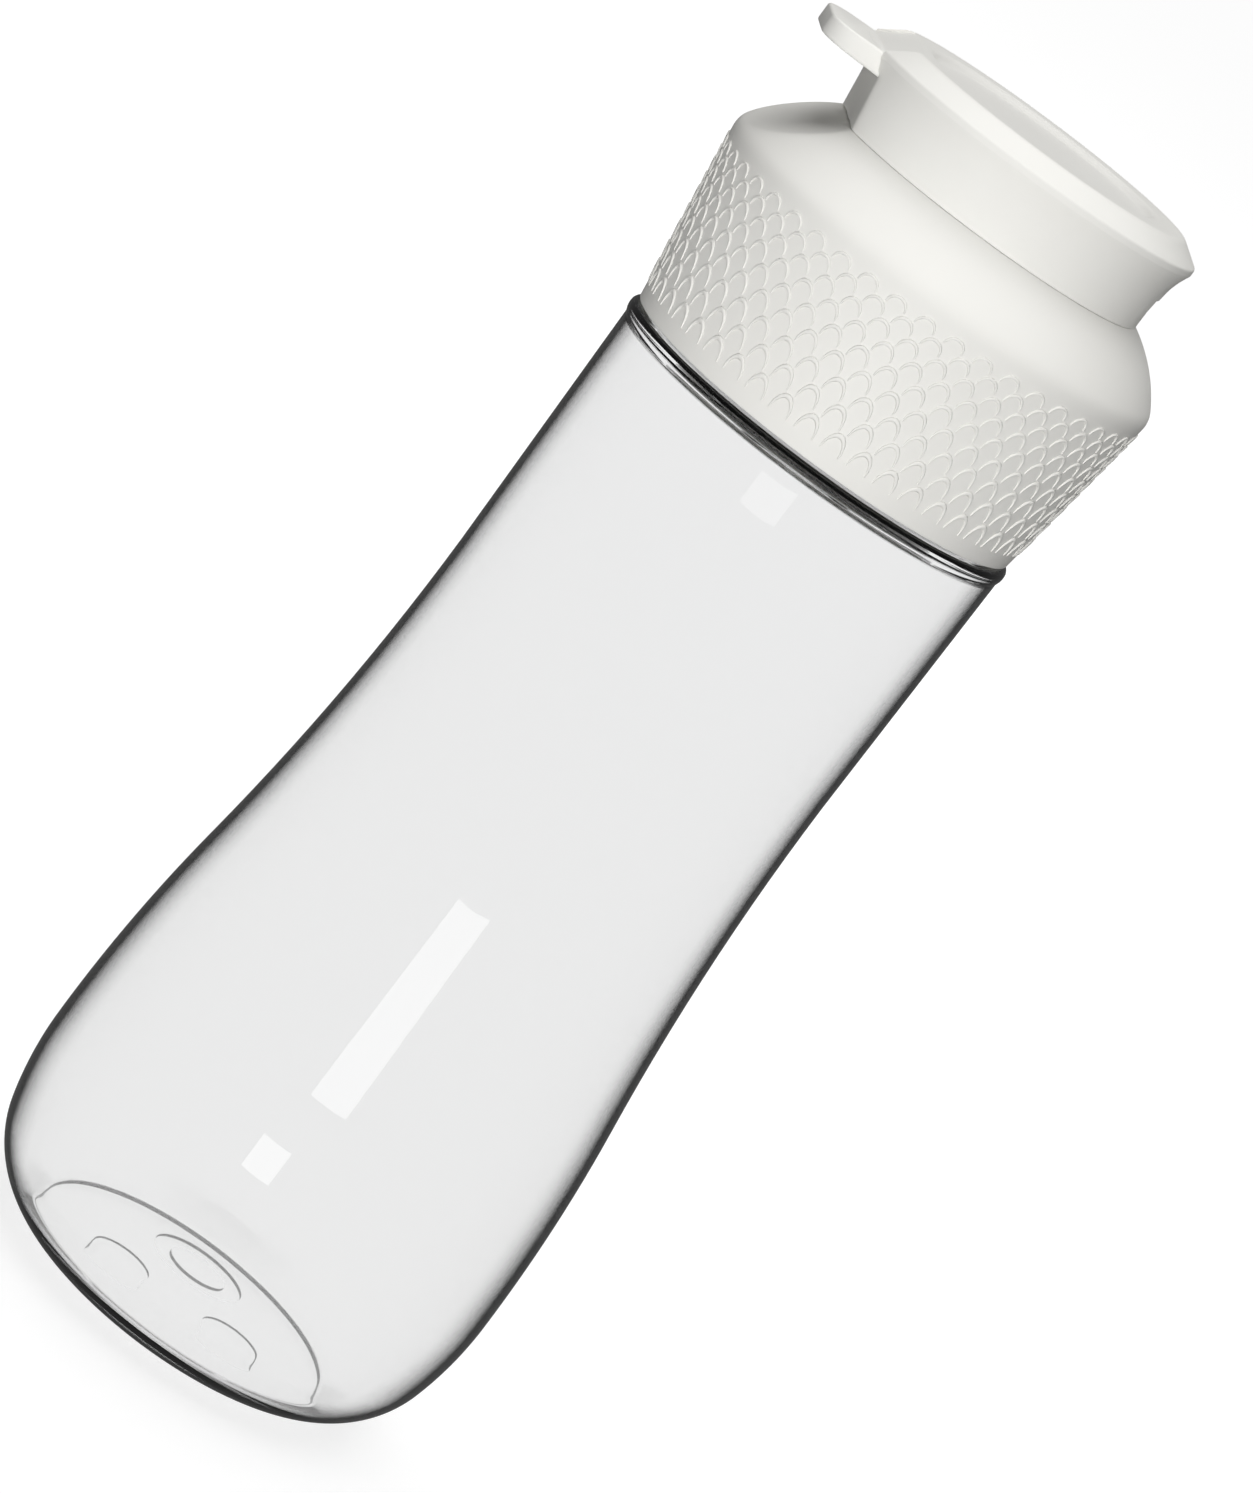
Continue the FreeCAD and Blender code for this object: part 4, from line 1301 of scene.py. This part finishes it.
def dress_pin(settings):
    """Ground steel on the hinge pin, which keeps its CAD shape."""
    pin = frame["nodes"]["hinge_pin"]
    pin.data.materials.clear()
    pin.data.materials.append(pin_steel(settings.finish))


# Stage

FLOOR_REACH = 20.0
NEAR_FLOOR = 0.1
FAR_FLOOR = 1.0
WHITE = (1.0, 1.0, 1.0, 1.0)


def direction(azimuth, elevation):
    """Unit vector from the bottle to a place; azimuth 0 lies along -Y and turns towards -X."""
    level = math.cos(elevation)
    return Vector((
        -math.sin(azimuth) * level, -math.cos(azimuth) * level, math.sin(elevation)))


def lamp(name, spot, target, width, height, power):
    """Rectangular lamp that faces a point."""
    light = bpy.data.lights.new(name, "AREA")
    light.shape = "RECTANGLE"
    light.size = width
    light.size_y = height
    light.energy = power
    lamp_object = new_piece(name, light)
    lamp_object.location = spot
    lamp_object.rotation_euler = (spot - target).to_track_quat("Z", "Y").to_euler()
    return lamp_object


def add_floor(stage):
    """Wide pale floor that shows white and keeps the object's shadow."""
    corner = FLOOR_REACH / 2
    corners = box_outline(-corner, corner, -corner, corner)
    floor = mesh_from("floor", [(*spot, 0) for spot in corners], [(0, 1, 2, 3)])
    material = bpy.data.materials.new("floor_white")
    tree = bare_tree(material)
    path = put(tree, "ShaderNodeLightPath").outputs
    matt = put(tree, "ShaderNodeBsdfDiffuse", {"Color": (*stage.floor, 1.0)})
    spot = put(tree, "ShaderNodeTexCoord").outputs["Object"]
    away = put(tree, "ShaderNodeVectorMath", {0: spot}, operation="LENGTH").outputs["Value"]
    glowing = ease(tree, away, NEAR_FLOOR, FAR_FLOOR, stage.near_glow, stage.far_glow)
    glow = put(tree, "ShaderNodeEmission", {
        "Strength": calculate(tree, "MULTIPLY", path["Is Camera Ray"], glowing)})
    lit = put(tree, "ShaderNodeAddShader", {0: matt.outputs[0], 1: glow.outputs[0]})
    level = spread(tree, path["Is Transmission Ray"], stage.gloss_level, 1.0)
    shown = put(tree, "ShaderNodeEmission", {"Strength": level})
    through = calculate(tree, "MAXIMUM", path["Is Glossy Ray"], path["Is Transmission Ray"])
    mixed = put(tree, "ShaderNodeMixShader", {
        0: through, 1: lit.outputs[0], 2: shown.outputs[0]})
    put(tree, "ShaderNodeOutputMaterial", {"Surface": mixed.outputs[0]})
    floor.data.materials.append(material)


def add_room(stage):
    """White surroundings for what is seen, a dimmer room in reflections and a fill for the rest."""
    world = bpy.data.worlds.new("room")
    tree = bare_tree(world)
    path = put(tree, "ShaderNodeLightPath").outputs
    dim = spread(tree, path["Is Glossy Ray"], stage.fill_level, stage.gloss_level)
    direct = calculate(tree, "MAXIMUM", path["Is Camera Ray"], path["Is Transmission Ray"])
    level = spread(tree, direct, dim, 1.0)
    glow = put(tree, "ShaderNodeBackground", {"Color": WHITE, "Strength": level})
    put(tree, "ShaderNodeOutputWorld", {"Surface": glow.outputs[0]})
    bpy.context.scene.world = world


LAMP_DISTANCE = 1.3
KEY_SIZE = (0.9, 0.35)
KEY_ELEVATION = math.radians(5)
TOP_SIZE = (1.8, 1.8)
TOP_TURN = math.radians(172)
TOP_ELEVATION = math.radians(80)
# Panes before the bottle: degrees to the left of the camera, lowest and highest edge, width and
# share of the glint level
PANES = (
    ("strip_pane", -3.0, 0.0346, 0.0664, 0.0306, 1.0),
    ("foot_pane", 3.6, 0.0124, 0.0214, 0.0235, 1.1),
    ("throat_pane", 1.5, 0.1170, 0.1225, 0.036, 0.5),
)
PANE_DISTANCE = 0.11


def add_lamps(stage):
    """Broad front and top lamps, and small panes that only show as glints on the bottle."""
    middle = Vector((0, 0, LID_TOP / 2))
    azimuth = stage.camera_azimuth
    reach = math.pi ** 2 * LAMP_DISTANCE ** 2
    front = middle + direction(azimuth, KEY_ELEVATION) * LAMP_DISTANCE
    above = middle + direction(azimuth + TOP_TURN, TOP_ELEVATION) * LAMP_DISTANCE
    for broad in (lamp("key_lamp", front, middle, *KEY_SIZE, stage.key_level * reach),
                  lamp("top_lamp", above, middle, *TOP_SIZE, stage.top_level * reach)):
        broad.visible_glossy = False
        broad.visible_transmission = False
    for name, turn, low, high, width, part in PANES:
        way = direction(azimuth + math.radians(turn), 0)
        height = Vector((0, 0, (low + high) / 2))
        power = part * stage.glint_level * math.pi * width * (high - low)
        pane = lamp(name, way * PANE_DISTANCE + height, height, width, high - low, power)
        pane.visible_camera = False
        pane.visible_diffuse = False
        pane.visible_transmission = False


CLIP_START = 0.01


def add_camera(stage):
    """Camera at the photograph's angle, rolled so that the bottle leans in the picture."""
    aim = Vector((0, 0, stage.aim_height))
    level_way = direction(stage.camera_azimuth, 0) * stage.camera_distance
    spot = level_way + Vector((0, 0, stage.camera_height))
    roll = stage.camera_roll

    def axes(forward):
        """The picture's right and up for a way of looking."""
        level = forward.cross(Vector((0, 0, 1))).normalized()
        upright = level.cross(forward)
        return (level * math.cos(roll) + upright * math.sin(roll),
                upright * math.cos(roll) - level * math.sin(roll))

    across, along = axes((aim - spot).normalized())
    target = aim + across * stage.frame_right - along * stage.frame_down
    ahead = (target - spot).normalized()
    across, along = axes(ahead)
    data = bpy.data.cameras.new("camera")
    data.lens = stage.lens
    data.clip_start = CLIP_START
    camera = new_piece("camera", data)
    turn = Matrix((across, along, -ahead)).transposed()
    camera.matrix_world = Matrix.Translation(spot) @ turn.to_4x4()
    bpy.context.scene.camera = camera


def add_stage(settings):
    """Floor, surroundings, lamps and camera."""
    add_floor(settings.stage)
    add_room(settings.stage)
    add_lamps(settings.stage)
    add_camera(settings.stage)
    bpy.context.scene.view_settings.view_transform = "Standard"


# Operators and panel

class SQUEEZE_OT_bottle(bpy.types.Operator):
    """Build the clear bottle and its neck thread"""

    bl_idname = "squeeze.bottle"
    bl_label = "Bottle"

    def execute(self, context):
        add_bottle(context.scene.squeeze_bottle)
        return {"FINISHED"}


class SQUEEZE_OT_gasket(bpy.types.Operator):
    """Build the gasket on the bottle's mouth"""

    bl_idname = "squeeze.gasket"
    bl_label = "Gasket"

    def execute(self, context):
        add_gasket(context.scene.squeeze_bottle)
        return {"FINISHED"}


class SQUEEZE_OT_cap(bpy.types.Operator):
    """Build the screw cap, its scales and its thread"""

    bl_idname = "squeeze.cap"
    bl_label = "Screw Cap"

    def execute(self, context):
        add_cap(context.scene.squeeze_bottle)
        return {"FINISHED"}


class SQUEEZE_OT_valve(bpy.types.Operator):
    """Build the slit valve and its ring"""

    bl_idname = "squeeze.valve"
    bl_label = "Valve"

    def execute(self, context):
        add_valve(context.scene.squeeze_bottle)
        return {"FINISHED"}


class SQUEEZE_OT_lid(bpy.types.Operator):
    """Build the flip lid and its plug"""

    bl_idname = "squeeze.lid"
    bl_label = "Flip Lid"

    def execute(self, context):
        add_lid(context.scene.squeeze_bottle)
        return {"FINISHED"}


class SQUEEZE_OT_pin(bpy.types.Operator):
    """Give the hinge pin its finish"""

    bl_idname = "squeeze.pin"
    bl_label = "Hinge Pin"

    def execute(self, context):
        dress_pin(context.scene.squeeze_bottle)
        return {"FINISHED"}


class SQUEEZE_OT_stage(bpy.types.Operator):
    """Build the floor, the light and the camera"""

    bl_idname = "squeeze.stage"
    bl_label = "Stage"

    def execute(self, context):
        add_stage(context.scene.squeeze_bottle)
        return {"FINISHED"}


OPERATORS = (
    SQUEEZE_OT_bottle,
    SQUEEZE_OT_gasket,
    SQUEEZE_OT_cap,
    SQUEEZE_OT_valve,
    SQUEEZE_OT_lid,
    SQUEEZE_OT_pin,
    SQUEEZE_OT_stage,
)


class SQUEEZE_PT_panel(bpy.types.Panel):
    """Lists the pieces of the squeeze bottle"""

    bl_idname = "SQUEEZE_PT_panel"
    bl_label = "Squeeze Bottle"
    bl_space_type = "VIEW_3D"
    bl_region_type = "UI"
    bl_category = "Squeeze Bottle"

    def draw(self, context):
        for operator in OPERATORS:
            self.layout.operator(operator.bl_idname)


GROUPS = (BottleShape, ThreadShape, CapShape, ScaleRelief, ValveShape, LidShape, Finish,
          StageSetup, SqueezeBottle)
CLASSES = GROUPS + OPERATORS + (SQUEEZE_PT_panel,)


def register():
    """Register the classes and the settings."""
    for item in CLASSES:
        bpy.utils.register_class(item)
    bpy.types.Scene.squeeze_bottle = bpy.props.PointerProperty(type=SqueezeBottle)


def unregister():
    """Remove the settings and the classes."""
    del bpy.types.Scene.squeeze_bottle
    for item in reversed(CLASSES):
        bpy.utils.unregister_class(item)


def main():
    register()
    bpy.ops.squeeze.bottle()
    bpy.ops.squeeze.gasket()
    bpy.ops.squeeze.cap()
    bpy.ops.squeeze.valve()
    bpy.ops.squeeze.lid()
    bpy.ops.squeeze.pin()
    bpy.ops.squeeze.stage()


if __name__ == "__main__":
    main()
